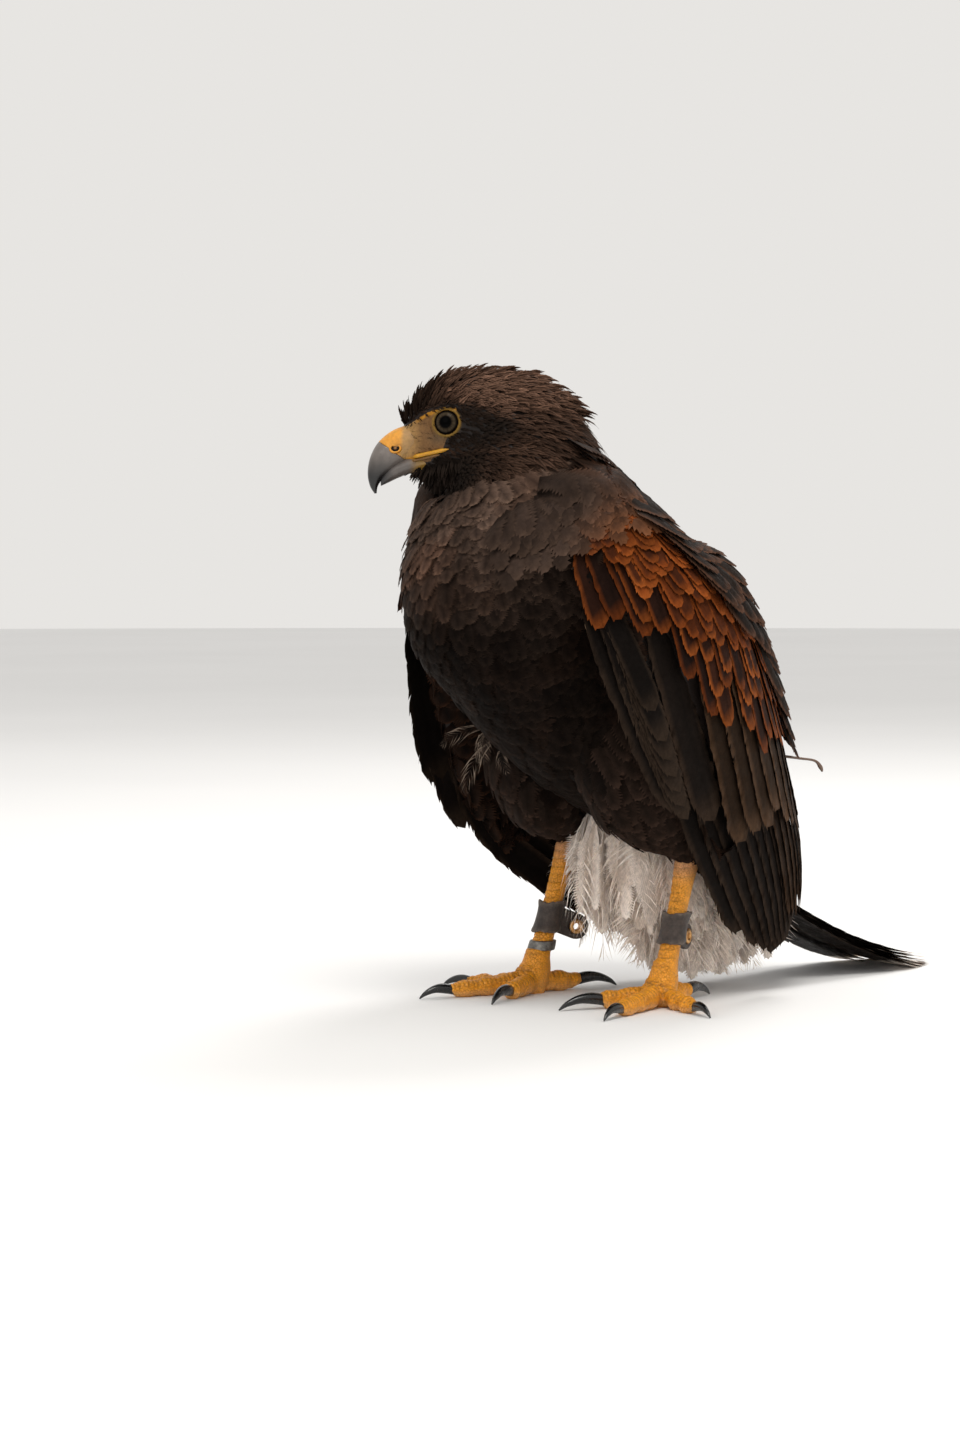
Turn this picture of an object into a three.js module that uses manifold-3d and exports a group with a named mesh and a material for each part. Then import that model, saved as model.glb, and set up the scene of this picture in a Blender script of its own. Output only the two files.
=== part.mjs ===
// A life-size Harris hawk standing on a flat floor: upright body, head turned to its right, wings folded and a little
// dropped, tail trailing back until its tip lies on the floor, and a leather anklet on each leg.
// Millimetres, +Z up. The hawk faces -Y and its left side is +X. The origin is at floor level, at the middle of the
// bounding box. Inside this file a place is given as left, forward and up from the point between the feet.
import * as THREE from "three";
import { mergeVertices } from "three/addons/utils/BufferGeometryUtils.js";
import Module from "manifold-3d";

const wasm = await Module();
wasm.setup();

// Driving dimensions
const GAP = 0.3; // kept between pieces that touch
const VANE = 0.7; // thickness of a feather
const SIDES = { left: 1, right: -1 };
const HEAD_CENTRE = { left: -11, forward: 66.5, up: 304.5 };
const HEAD_TURN = 38; // degrees to the hawk's right
const EYE = { radius: 8.4, forward: 26, aside: 11.6, up: -1.7 };
const NECK_CUT = 252; // height at which the neck starts, on the body's axis
const TAIL = { length: 228, base: { forward: -52, up: 103 }, slopeStart: 44, slopeEnd: 8, pairs: 6, halfWidth: 12 };
const TAIL_STACK = { first: 0.8, pair: 1.7, side: 0.85, vane: 0.55 }; // how the tail feathers lie under one another
const FEET = {
  left: { left: 43, forward: 0, up: 13, heading: 20, hock: { left: 44, forward: -19, up: 79 } },
  right: { left: 42, forward: 12, up: 13, heading: 15, hock: { left: 42, forward: -15, up: 84 } },
};
// length along the floor, half-thickness at the base and at the tip, turn from the foot's heading, claw length and drop
const TOES = {
  middle: { length: 50, base: 6.2, tip: 4.1, turn: 0, claw: 19, knuckles: 4 },
  inner: { length: 34, base: 6.2, tip: 4.6, turn: -40, claw: 25, knuckles: 3 },
  outer: { length: 38, base: 5.4, tip: 3.8, turn: 52, claw: 17, knuckles: 4 },
  hind: { length: 27, base: 6.4, tip: 4.8, turn: 176, claw: 27, knuckles: 2 },
};
const SHANK_END = 19; // height at which the shank ends on the foot
const ANKLET = { height: 17, wall: 1.6, up: 32, flare: 1.6, tab: 21, tabHeight: 14, sag: 22 };
const RING = { height: 5.5, wall: 1.5, up: 22.5 };

const COLOURS = {
  plumage: [0x3b2c24, 0.85],
  rufous: [0x7a3a1c, 0.85],
  flight: [0x2a211c, 0.7],
  tail: [0x1d1917, 0.7],
  white: [0xd9d0c6, 0.9],
  cere: [0xdb9a2a, 0.5],
  bill: [0x5b5c63, 0.3],
  claw: [0x17171a, 0.25],
  leg: [0xe0982c, 0.55],
  eye: [0x2a1c12, 0.08],
  leather: [0x4b3f37, 0.75],
  ring: [0x55524f, 0.45],
  brass: [0xb08a4a, 0.35],
};

// Small helpers

const radians = THREE.MathUtils.degToRad;
const lerp = THREE.MathUtils.lerp;

function place(left, forward, up) {
  return new THREE.Vector3(left, -forward, up);
}

function at(spot) {
  return place(spot.left, spot.forward, spot.up);
}

// Row number t of a table of rows, counted from 0 to 1 and read as a smooth curve through every row.
function rowAt(rows, t) {
  const x = THREE.MathUtils.clamp(t, 0, 1) * (rows.length - 1);
  const i = Math.min(Math.floor(x), rows.length - 2);
  const k = x - i;
  const [before, a, b, after] = [rows[Math.max(i - 1, 0)], rows[i], rows[i + 1], rows[Math.min(i + 2, rows.length - 1)]];
  return a.map((_, column) => {
    const [p, q, r, s] = [before[column], a[column], b[column], after[column]];
    return q + 0.5 * k * (r - p + k * (2 * p - 5 * q + 4 * r - s + k * (3 * (q - r) + s - p)));
  });
}

// A repeatable number from -1 to 1 for each whole number.
function vary(n) {
  const x = Math.sin(n * 127.1 + 11.7) * 43758.5453;
  return 2 * (x - Math.floor(x)) - 1;
}

// Solids

function solidOf(geometry) {
  const bare = geometry.index ? geometry.toNonIndexed() : geometry.clone();
  for (const name of Object.keys(bare.attributes)) if (name !== "position") bare.deleteAttribute(name);
  const merged = mergeVertices(bare, 1e-4);
  const mesh = new wasm.Mesh({
    numProp: 3,
    vertProperties: new Float32Array(merged.attributes.position.array),
    triVerts: new Uint32Array(merged.index.array),
  });
  return new wasm.Manifold(mesh);
}

function geometryOf(solid) {
  const mesh = solid.getMesh();
  return new THREE.BufferGeometry()
    .setAttribute("position", new THREE.BufferAttribute(new Float32Array(mesh.vertProperties), 3))
    .setIndex(new THREE.BufferAttribute(new Uint32Array(mesh.triVerts), 1))
    .toNonIndexed();
}

// A closed skin through rings of points, each end closed flat. Every quad is split on the same diagonal.
function skin(rings) {
  const sides = rings[0].length;
  const points = rings.flat();
  const faces = [];
  for (let i = 0; i + 1 < rings.length; i++) {
    for (let j = 0; j < sides; j++) {
      const k = (j + 1) % sides;
      const [a, b, c, d] = [i * sides + j, i * sides + k, (i + 1) * sides + k, (i + 1) * sides + j];
      faces.push(a, b, c, a, c, d);
    }
  }
  const last = (rings.length - 1) * sides;
  for (let j = 1; j + 1 < sides; j++) faces.push(0, j + 1, j, last, last + j, last + j + 1);
  const build = (order) => {
    const geometry = new THREE.BufferGeometry().setFromPoints(points);
    geometry.setIndex(order);
    return solidOf(geometry);
  };
  const solid = build(faces);
  return solid.volume() > 0 ? solid : build(faces.reverse());
}

function join(solids) {
  return solids.reduce((sum, solid) => sum.add(solid));
}

function cut(solid, ...cutters) {
  return cutters.reduce((rest, cutter) => rest.subtract(cutter), solid);
}

function largest(solid) {
  return solid.decompose().reduce((best, piece) => (piece.volume() > best.volume() ? piece : best));
}

// Everything below the floor is cut away, which leaves the small flats that the hawk rests on.
function onFloor(solid) {
  return solid.trimByPlane([0, 0, 1], 0);
}

// A ring of points round a centre: across and over are the half-axes, under is used for the lower half.
function oval(centre, across, over, under, sides, power = 1) {
  const bulge = (x) => Math.sign(x) * Math.abs(x) ** power;
  return Array.from({ length: sides }, (_, i) => {
    const angle = (2 * Math.PI * i) / sides;
    const [c, s] = [bulge(Math.cos(angle)), bulge(Math.sin(angle))];
    return centre.clone().addScaledVector(across, c).addScaledVector(s > 0 ? over : under, s > 0 ? s : -s);
  });
}

// A round limb through spots of [left, forward, up, radius], with an optional flattening of its cross-section.
function limb(rows, steps, sides, grow = 0, flatten = 1) {
  const rings = [];
  const [first, last] = [rows[0], rows[rows.length - 1]];
  const run = place(last[0] - first[0], last[1] - first[1], last[2] - first[2]).normalize();
  const upright = Math.abs(run.z) > 0.6;
  for (let i = 0; i <= steps; i++) {
    const t = i / steps;
    const [left, forward, up, radius] = rowAt(rows, t);
    const ahead = rowAt(rows, Math.min(t + 0.02, 1));
    const behind = rowAt(rows, Math.max(t - 0.02, 0));
    const along = place(ahead[0] - behind[0], ahead[1] - behind[1], ahead[2] - behind[2]).normalize();
    const side = upright ? new THREE.Vector3(1, 0, 0) : new THREE.Vector3(0, 0, 1).cross(along);
    side.addScaledVector(along, -side.dot(along)).normalize();
    const over = along.clone().cross(side).normalize();
    const r = Math.max(radius, 0.3) + grow;
    rings.push(
      oval(place(left, forward, up), side.multiplyScalar(r), over.clone().multiplyScalar(r * flatten),
        over.clone().multiplyScalar(-r * flatten), sides),
    );
  }
  return skin(rings);
}

// A feather: a thin plate through stations, each with a centre, a unit side and a unit normal, and a half-width.
function vane(stations, thickness = VANE) {
  return skin(
    stations.map(({ centre, side, normal, halfWidth }) => {
      const corner = (s, n) =>
        centre.clone().addScaledVector(side, s * halfWidth).addScaledVector(normal, (n * thickness) / 2);
      return [corner(-1, -1), corner(1, -1), corner(1, 1), corner(-1, 1)];
    }),
  );
}

// How wide a feather is along its length, from root to tip, as a share of its greatest width.
function featherWidth(t, point = 0.35) {
  const root = Math.min(1, 0.45 + 1.5 * t);
  const tip = t < 0.72 ? 1 : lerp(1, point, ((t - 0.72) / 0.28) ** 2);
  return root * tip;
}

// Body: torso and neck are one form, parted by a thin cut

// forward, up, pitch of the axis in degrees, half-width, depth to the back, depth to the breast
const BODY_ROWS = [
  [-60, 94, 46, 9, 6, 7],
  [-50, 104, 48, 23, 20, 26],
  [-26, 132, 53, 43, 42, 50],
  [0, 163, 56, 55, 54, 66],
  [22, 194, 58, 60, 58, 76],
  [40, 222, 61, 62, 56, 83],
  [51, 246, 65, 59, 52, 76],
  [56, 266, 70, 51, 49, 60],
  [57, 283, 75, 41, 44, 47],
  [59, 297, 80, 32, 38, 37],
  [62, 309, 84, 22, 27, 26],
];

function bodyForm(grow = 0) {
  const steps = 19;
  const rings = [];
  for (let i = 0; i <= steps; i++) {
    const [forward, up, pitch, width, back, front] = rowAt(BODY_ROWS, i / steps);
    const [c, s] = [Math.cos(radians(pitch)), Math.sin(radians(pitch))];
    rings.push(
      oval(place(0, forward, up), place(width + grow, 0, 0), place(0, -s, c).multiplyScalar(back + grow),
        place(0, s, -c).multiplyScalar(front + grow), 22, 0.92),
    );
  }
  return skin(rings);
}

// Head, in its own turned frame: forward along the bill, aside to the hawk's left, up

function headPoint(forward, aside, up) {
  const turn = radians(HEAD_TURN);
  return place(
    HEAD_CENTRE.left - forward * Math.sin(turn) + aside * Math.cos(turn),
    HEAD_CENTRE.forward + forward * Math.cos(turn) + aside * Math.sin(turn),
    HEAD_CENTRE.up + up,
  );
}

function headDirection(forward, aside, up) {
  return headPoint(forward, aside, up).sub(headPoint(0, 0, 0));
}

// forward, top, underside, half-width
const HEAD_ROWS = [
  [-48, -10, -22, 6],
  [-43, -1, -32, 14],
  [-34, 13, -38, 21.5],
  [-20, 23.5, -39.5, 26],
  [-5, 28, -39.5, 27],
  [10, 28.8, -37, 25.5],
  [23, 25, -34, 20.5],
  [33, 18.5, -30, 15.4],
  [40.5, 11, -26.5, 11.5],
  [46, 3, -24, 9],
  [49.5, -4.5, -22, 7.2],
];
const HEAD_SIDES = 22;

function headForm(grow = 0) {
  const steps = 15;
  const rings = [];
  for (let i = 0; i <= steps; i++) {
    const [forward, top, under, width] = rowAt(HEAD_ROWS, i / steps);
    const half = (top - under) / 2 + grow;
    rings.push(
      oval(headPoint(forward, 0, (top + under) / 2), headDirection(0, width + grow, 0), headDirection(0, 0, half),
        headDirection(0, 0, -half), HEAD_SIDES, 0.95),
    );
  }
  return skin(rings);
}

// How far the side of the head is from its middle plane at a place forward and up.
function headHalfWidth(forward, up) {
  let low = 0;
  let high = 1;
  for (let i = 0; i < 20; i++) {
    const middle = (low + high) / 2;
    if (rowAt(HEAD_ROWS, middle)[0] < forward) low = middle;
    else high = middle;
  }
  const [, top, under, width] = rowAt(HEAD_ROWS, low);
  const share = (up - (top + under) / 2) / ((top - under) / 2);
  return width * Math.sqrt(Math.max(0, 1 - share * share));
}

function eyeForm(side, grow = 0, detail = 3) {
  const ball = new THREE.IcosahedronGeometry(EYE.radius + grow, detail);
  const centre = headPoint(EYE.forward, side * EYE.aside, EYE.up);
  return solidOf(ball.translate(centre.x, centre.y, centre.z));
}

// The lid is a ring that lies round the eye, on the side of the head.
function eyeLid(side) {
  const lid = { radius: 6.9, thickness: 1.5, standOut: 5.6 };
  const out = headDirection(0.3, side, 0.06).normalize();
  const ring = new THREE.TorusGeometry(lid.radius, lid.thickness, 6, 16);
  ring.applyQuaternion(new THREE.Quaternion().setFromUnitVectors(new THREE.Vector3(0, 0, 1), out));
  const centre = headPoint(EYE.forward, side * EYE.aside, EYE.up).addScaledVector(out, lid.standOut);
  return solidOf(ring.translate(centre.x, centre.y, centre.z));
}

function alongHead(rows, steps, sides) {
  const spots = rows.map(([forward, aside, up, radius]) => {
    const p = headPoint(forward, aside, up);
    return [p.x, -p.y, p.z, radius];
  });
  return limb(spots, steps, sides);
}

// The bony shelf that shades the eye.
function brow(side) {
  return alongHead(
    [
      [42, side * 9.5, 2.4, 0.8],
      [36.5, side * 12.8, 4.6, 2],
      [30, side * 16.6, 6.6, 2.5],
      [22, side * 19.8, 7.8, 2],
      [14, side * 22.2, 7.8, 0.8],
    ], 6, 6);
}

// The soft yellow edge of the mouth, from its corner to the bill.
function lip(side, drop, from, to) {
  const rows = [];
  for (let i = 0; i <= 3; i++) {
    const forward = lerp(from, to, i / 3);
    const up = mouthLine(forward) + drop;
    const aside = Math.max(headHalfWidth(forward, up), 5) - 0.3;
    rows.push([forward, side * aside, up, i === 0 ? 0.6 : 1.15]);
  }
  return alongHead(rows, 4, 5);
}

function mouthLine(forward) {
  return forward < 49 ? lerp(-13, -20, (forward - 26) / 23) : lerp(-20, -30, (forward - 49) / 12.5);
}

// Bill: forward, up, pitch, half-width, thickness above and below the axis
const BILL_ROWS = [
  [38, -9.5, -14, 9.4, 11, 8],
  [45, -10.5, -17, 8.6, 9.6, 8.2],
  [51.5, -12.6, -26, 7.4, 8.8, 8.4],
  [57.2, -16.8, -43, 6.3, 7.3, 7],
  [61.2, -22.4, -62, 4.9, 5.8, 4.6],
  [63.5, -28.4, -80, 3.4, 3.9, 2.6],
  [63.9, -33.6, -94, 2, 2.2, 1.5],
  [63.2, -37.4, -100, 0.6, 0.6, 0.5],
];

function billForm(grow = 0) {
  const steps = 13;
  const rings = [];
  for (let i = 0; i <= steps; i++) {
    const [forward, up, pitch, width, above, below] = rowAt(BILL_ROWS, i / steps);
    const [c, s] = [Math.cos(radians(pitch)), Math.sin(radians(pitch))];
    rings.push(
      oval(headPoint(forward, 0, up), headDirection(0, width + grow, 0), headDirection(-s * (above + grow), 0, c * (above + grow)),
        headDirection(s * (below + grow), 0, -c * (below + grow)), 12),
    );
  }
  return skin(rings);
}

// The plane where the yellow cere ends and the horn of the bill starts.
const CERE_END = { forward: 53.6, up: -16.5, lean: 55 };

function billCut(solid, keep) {
  const lean = radians(CERE_END.lean);
  const normal = headDirection(Math.cos(lean), 0, -Math.sin(lean)).normalize().multiplyScalar(keep);
  const offset = normal.dot(headPoint(CERE_END.forward, 0, CERE_END.up)) + GAP / 2;
  return solid.trimByPlane([normal.x, normal.y, normal.z], offset);
}

function nostril(side) {
  const hole = new THREE.IcosahedronGeometry(1, 1).scale(1.9, 1.6, 1.3);
  hole.rotateZ(-radians(HEAD_TURN) + Math.PI / 2);
  const centre = headPoint(52, side * 7.6, -13.4);
  return solidOf(hole.translate(centre.x, centre.y, centre.z));
}

// forward, top, underside, half-width
const LOWER_BILL_ROWS = [
  [28, -14.5, -24.8, 9.6],
  [38, -17.5, -26.2, 8],
  [46, -19.8, -27.2, 6.4],
  [52, -22.4, -29, 4.8],
  [56.6, -25.6, -30.8, 3.3],
  [59.6, -29, -31.8, 1.5],
];

function lowerBillForm(grow = 0) {
  const steps = 6;
  const rings = [];
  for (let i = 0; i <= steps; i++) {
    const [forward, top, under, width] = rowAt(LOWER_BILL_ROWS, i / steps);
    const half = (top - under) / 2 + grow;
    rings.push(
      oval(headPoint(forward, 0, (top + under) / 2), headDirection(0, width + grow, 0), headDirection(0, 0, half),
        headDirection(0, 0, -half), 10),
    );
  }
  return skin(rings);
}

// Wings. A folded wing is a curved sheet. Along runs from the shoulder at 0 to the tip at 1, and across runs from the
// lower edge at 0 to the upper edge at 1. Rows are left, forward, up.

const LOWER_EDGE = [
  [64, 88, 232],
  [72, 64, 184],
  [68, 28, 132],
  [59, -16, 80],
  [47, -60, 38],
  [38, -88, 15],
];
const UPPER_EDGE = [
  [30, 20, 281],
  [23, -34, 242],
  [15, -72, 195],
  [15, -98, 146],
  [27, -111, 97],
  [42, -106, 50],
];
const WING_BULGE = [[19], [25], [25], [20], [12], [6]];
// How far the lower edge hangs out and forward from its usual place
const WING_DROOP = { left: [[0], [0]], right: [[-9], [-1], [20], [35], [13], [0]] };
// How far the flesh stands out of the sheet, and in, along the wing
const WING_OUT = [[9.5], [14.2], [14.2], [11.4], [7.6], [3.8], [1.2], [0.9]];
const WING_IN = [[9], [16], [18], [15], [9], [4], [1.1], [0.9]];
const WING_END = 0.78; // where the flesh ends and only flight feathers go on

function wingSheet(sideName, along, across) {
  const side = SIDES[sideName];
  const sheet = (s, t) => {
    const lower = rowAt(LOWER_EDGE, s);
    const upper = rowAt(UPPER_EDGE, s);
    const droop = rowAt(WING_DROOP[sideName], s)[0] * (1 - t);
    const [left, forward, up] = lower.map((value, i) => lerp(value, upper[i], t));
    return place(side * (left + droop * 0.5), forward + droop * 0.87, up);
  };
  const step = 0.01;
  const flat = sheet(along, across);
  const down = sheet(along + step, across).sub(sheet(along - step, across));
  const over = sheet(along, across + step).sub(sheet(along, across - step));
  const out = down.clone().cross(over).multiplyScalar(side).normalize();
  const bulge = rowAt(WING_BULGE, along)[0] * 4 * across * (1 - across);
  return { point: flat.addScaledVector(out, bulge), out };
}

// The sheet with its true normal, which turns as the sheet bulges.
function wingSpot(sideName, along, across) {
  const step = 0.02;
  const { point } = wingSheet(sideName, along, across);
  const down = wingSheet(sideName, along + step, across).point.sub(wingSheet(sideName, along - step, across).point);
  const over = wingSheet(sideName, along, across + step).point.sub(wingSheet(sideName, along, across - step).point);
  const out = down.clone().cross(over).multiplyScalar(SIDES[sideName]).normalize();
  return { point, out, over: over.normalize(), width: over.length() };
}

function wingFlesh(sideName) {
  const steps = 10;
  const columns = 7;
  const rings = [];
  for (let i = 0; i <= steps; i++) {
    const along = (i / steps) * WING_END;
    const outside = [];
    const inside = [];
    for (let j = 0; j <= columns; j++) {
      const across = j / columns;
      const { point, out } = wingSpot(sideName, along, 0.03 + 0.94 * across);
      const round = Math.sqrt(Math.max(0, 1 - Math.abs(2 * across - 1) ** 4)) * 0.82 + 0.18;
      outside.push(point.clone().addScaledVector(out, rowAt(WING_OUT, along)[0] * round));
      inside.unshift(point.clone().addScaledVector(out, -rowAt(WING_IN, along)[0] * round));
    }
    rings.push([...outside, ...inside]);
  }
  return skin(rings);
}

// Tiers of feathers: how many, where along their roots and tips lie at the lower edge, the middle and the upper edge,
// from which to which place across, how far out they lie and how pointed they are
const TIERS = [
  {
    count: 6, stations: 4, roots: [0.6, 0.62, 0.64], tips: [0.99, 0.985, 0.95],
    across: [0.07, 0.6], lift: 1.6, halfWidth: 9.5, point: 0.3,
  },
  {
    count: 7, stations: 4, roots: [0.5, 0.46, 0.46], tips: [0.86, 0.88, 0.99],
    across: [0.26, 0.96], lift: 5, halfWidth: 11.5, point: 0.42,
  },
  {
    count: 7, stations: 3, roots: [0.28, 0.32, 0.34], tips: [0.7, 0.69, 0.74],
    across: [0.07, 0.94], lift: 8.6, halfWidth: 14, point: 0.42,
  },
  {
    count: 6, stations: 3, roots: [0.19, 0.21, 0.21], tips: [0.46, 0.52, 0.56],
    across: [0.12, 0.91], lift: 12, halfWidth: 15.5, point: 0.5,
  },
];
const VANE_TILT = 0.17; // each feather's lower edge stands out over the next

function bend(three, t) {
  return rowAt(three.map((value) => [value]), t)[0];
}

function wingTier(sideName, tier) {
  const feathers = [];
  const { stations } = tier;
  for (let i = 0; i < tier.count; i++) {
    const share = i / (tier.count - 1);
    const seat = lerp(tier.across[0], tier.across[1], share);
    const root = bend(tier.roots, share);
    const tip = bend(tier.tips, share) + 0.008 * vary(i + 20 * tier.count);
    const list = [];
    for (let k = 0; k <= stations; k++) {
      const t = k / stations;
      const { point, out, over } = wingSpot(sideName, lerp(root, tip, t), seat);
      const side = over.clone().addScaledVector(out, -VANE_TILT).normalize();
      const normal = out.clone().addScaledVector(over, VANE_TILT).normalize();
      const halfWidth = tier.halfWidth * featherWidth(t, tier.point);
      list.push({ centre: point.clone().addScaledVector(out, tier.lift), side, normal, halfWidth });
    }
    feathers.push(vane(list));
  }
  return join(feathers);
}

// Tail: pairs of long feathers, the middle pair on top, that trail back and down until their tips lie on the floor

function tailSpot(distance) {
  const { length, base, slopeStart, slopeEnd } = TAIL;
  let [forward, up] = [base.forward, base.up];
  const steps = 24;
  let slope = radians(slopeStart);
  for (let i = 0; i < steps; i++) {
    slope = radians(lerp(slopeStart, slopeEnd, Math.min(1, (distance * (i + 0.5)) / steps / length)));
    forward -= (Math.cos(slope) * distance) / steps;
    up -= (Math.sin(slope) * distance) / steps;
  }
  return { point: place(0, forward, up), normal: place(0, -Math.sin(slope), Math.cos(slope)) };
}

function tailFeather(pair, side) {
  const stations = 5;
  const fan = 0.4 + 0.62 * pair; // degrees from the middle
  const list = [];
  const long = TAIL.length * (1 - 0.004 * pair * pair);
  for (let k = 0; k <= stations; k++) {
    const t = k / stations;
    const { point, normal } = tailSpot(long * t);
    const aside = side * (1.5 + 1.2 * pair + Math.sin(radians(fan)) * long * t);
    const sink = TAIL_STACK.first + pair * TAIL_STACK.pair + (side < 0 ? TAIL_STACK.side : 0);
    const centre = point.clone().add(place(aside, 0, 0)).addScaledVector(normal, -sink);
    const halfWidth = TAIL.halfWidth * featherWidth(t, 0.55);
    list.push({ centre, side: place(1, 0, 0), normal, halfWidth });
  }
  return vane(list, TAIL_STACK.vane);
}

// The fleshy root of the tail with its upper coverts as one low form.
function tailRoot() {
  const rows = [[2, 17, 10, 11], [14, 20, 10, 12], [28, 20, 8.5, 12], [44, 18, 5.5, 11.5], [58, 15, 1.4, 10.5]];
  const rings = [];
  const steps = 5;
  for (let i = 0; i <= steps; i++) {
    const [distance, width, above, below] = rowAt(rows, i / steps);
    const { point, normal } = tailSpot(distance);
    rings.push(
      oval(point, place(width, 0, 0), normal.clone().multiplyScalar(above), normal.clone().multiplyScalar(-below), 12, 0.9),
    );
  }
  return skin(rings);
}

// Upper tail coverts: short round feathers in two tiers over the tail's root.
function tailCoverts() {
  const feathers = [];
  const tiers = [{ count: 4, start: 28, reach: 90, lift: 3.6 }, { count: 3, start: 12, reach: 62, lift: 7.4 }];
  for (const { count, start, reach, lift } of tiers) {
    for (let i = 0; i < count; i++) {
      const share = i - (count - 1) / 2;
      const list = [];
      for (let k = 0; k <= 4; k++) {
        const t = k / 4;
        const { point, normal } = tailSpot(lerp(start, reach - 3 * Math.abs(share), t));
        const aside = share * (7 + 2 * t);
        const centre = point.clone().add(place(aside, 0, 0)).addScaledVector(normal, lift - 0.9 * i - 1.2 * t);
        list.push({ centre, side: place(1, 0, 0), normal, halfWidth: 8 * featherWidth(t, 0.45) });
      }
      feathers.push(vane(list, 0.6));
    }
  }
  return join(feathers);
}

// Undertail coverts: a soft white mass under the tail's root, with plumes that hang between and behind the legs

function ventForm(grow = 0) {
  return limb([[0, -24, 103, 6], [0, -34, 90, 15], [2, -46, 76, 18], [4, -62, 64, 15], [5, -78, 54, 9], [5, -88, 48, 3]],
    7, 12, grow, 0.8);
}

// A plume: root and tip as left, forward, up, how far it bows out, half-width
function plume(root, tip, bow, halfWidth, turn) {
  const [a, b] = [place(...root), place(...tip)];
  const along = b.clone().sub(a).normalize();
  const facing = place(Math.sin(turn), Math.cos(turn), 0);
  const side = along.clone().cross(facing).normalize();
  const normal = side.clone().cross(along).normalize();
  const list = [];
  for (let k = 0; k <= 4; k++) {
    const t = k / 4;
    const centre = a.clone().lerp(b, t).addScaledVector(normal, bow * Math.sin(Math.PI * t));
    list.push({ centre, side, normal, halfWidth: halfWidth * featherWidth(t, 0.15) });
  }
  return vane(list, 0.8);
}

function ventPlumes() {
  const made = [];
  const behind = 4;
  for (let i = 0; i < behind; i++) {
    const share = 2 * (i / (behind - 1)) - 1;
    made.push(plume([2 + 9 * share, -60, 60], [4 + 20 * share, -104 - 6 * vary(i + 3), 32 + 4 * vary(i + 13)],
      2, 6, Math.PI));
  }
  const below = 5;
  for (let i = 0; i < below; i++) {
    const share = 2 * (i / (below - 1)) - 1;
    made.push(plume([2 + 13 * share, -44 + 5 * Math.abs(share), 72],
      [4 + 24 * share, -46 + 14 * Math.abs(share) + 4 * vary(i + 5), 16 + 9 * Math.abs(share) + 4 * vary(i + 9)],
      3, 5.4, Math.PI - 0.9 * share));
  }
  return join(made);
}

// Legs

function thighForm(sideName, grow = 0) {
  const side = SIDES[sideName];
  const { hock } = FEET[sideName];
  return limb(
    [
      [side * 24, 20, 178, 18],
      [side * 29, 20, 158, 27],
      [side * 33, 17, 136, 31],
      [side * 36, 9, 113, 28],
      [side * (hock.left - 2), hock.forward + 12, hock.up + 18, 20],
      [side * hock.left, hock.forward + 3, hock.up + 5, 11.5],
      [side * hock.left, hock.forward - 1, hock.up - 5, 6.6],
    ], 9, 14, grow);
}

function shankRows(sideName) {
  const side = SIDES[sideName];
  const foot = FEET[sideName];
  const { hock } = foot;
  const spot = (t, radius) => [
    side * lerp(hock.left, foot.left, t), lerp(hock.forward, foot.forward - 2, t), lerp(hock.up, foot.up + 1, t), radius,
  ];
  return [spot(-0.06, 5.5), spot(0.08, 6.3), spot(0.3, 5.3), spot(0.6, 5), spot(0.85, 5.6), spot(1, 6.8)];
}

// The shank at a height: left, forward, up, radius.
function shankAt(sideName, up) {
  const rows = shankRows(sideName);
  let [low, high] = [0, 1];
  for (let i = 0; i < 20; i++) {
    const middle = (low + high) / 2;
    if (rowAt(rows, middle)[2] > up) low = middle;
    else high = middle;
  }
  return rowAt(rows, low);
}

function shankForm(sideName, grow = 0) {
  return limb(shankRows(sideName), 6, 10, grow);
}

function toeHeading(sideName, toe) {
  const foot = FEET[sideName];
  return SIDES[sideName] * radians(foot.heading + TOES[toe].turn);
}

// A point on a foot, at a distance along a toe and a height.
function toePoint(sideName, toe, distance, up) {
  const foot = FEET[sideName];
  const heading = toeHeading(sideName, toe);
  const side = SIDES[sideName];
  return [side * foot.left + Math.sin(heading) * distance, foot.forward + Math.cos(heading) * distance, up];
}

// Toes are arched a little between swollen pads, which rest on the floor.
function toeForm(sideName, toe) {
  const { length, base, tip, knuckles } = TOES[toe];
  const steps = knuckles * 3;
  const rows = [];
  for (let i = 0; i <= steps; i++) {
    const t = i / steps;
    const pad = 0.5 + 0.5 * Math.cos(2 * Math.PI * knuckles * t);
    const radius = lerp(base, tip, t) * (0.88 + 0.14 * pad) * (i === steps ? 0.72 : 1);
    const rise = Math.max(0, 1 - 3.2 * t) ** 1.4 * 6 + 0.9 * (1 - pad);
    rows.push([...toePoint(sideName, toe, length * t, radius - 0.5 + rise), radius]);
  }
  return limb(rows, steps, 8);
}

function clawForm(sideName, toe) {
  const { length, tip, claw } = TOES[toe];
  const rows = [
    [...toePoint(sideName, toe, length - 2.5, tip * 0.95), tip * 0.62],
    [...toePoint(sideName, toe, length + claw * 0.22, tip * 1.28), tip * 0.66],
    [...toePoint(sideName, toe, length + claw * 0.52, tip * 1.22), tip * 0.5],
    [...toePoint(sideName, toe, length + claw * 0.8, tip * 0.72), tip * 0.3],
    [...toePoint(sideName, toe, length + claw * 0.97, 0.55), 0.4],
  ];
  return limb(rows, 5, 6);
}

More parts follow.
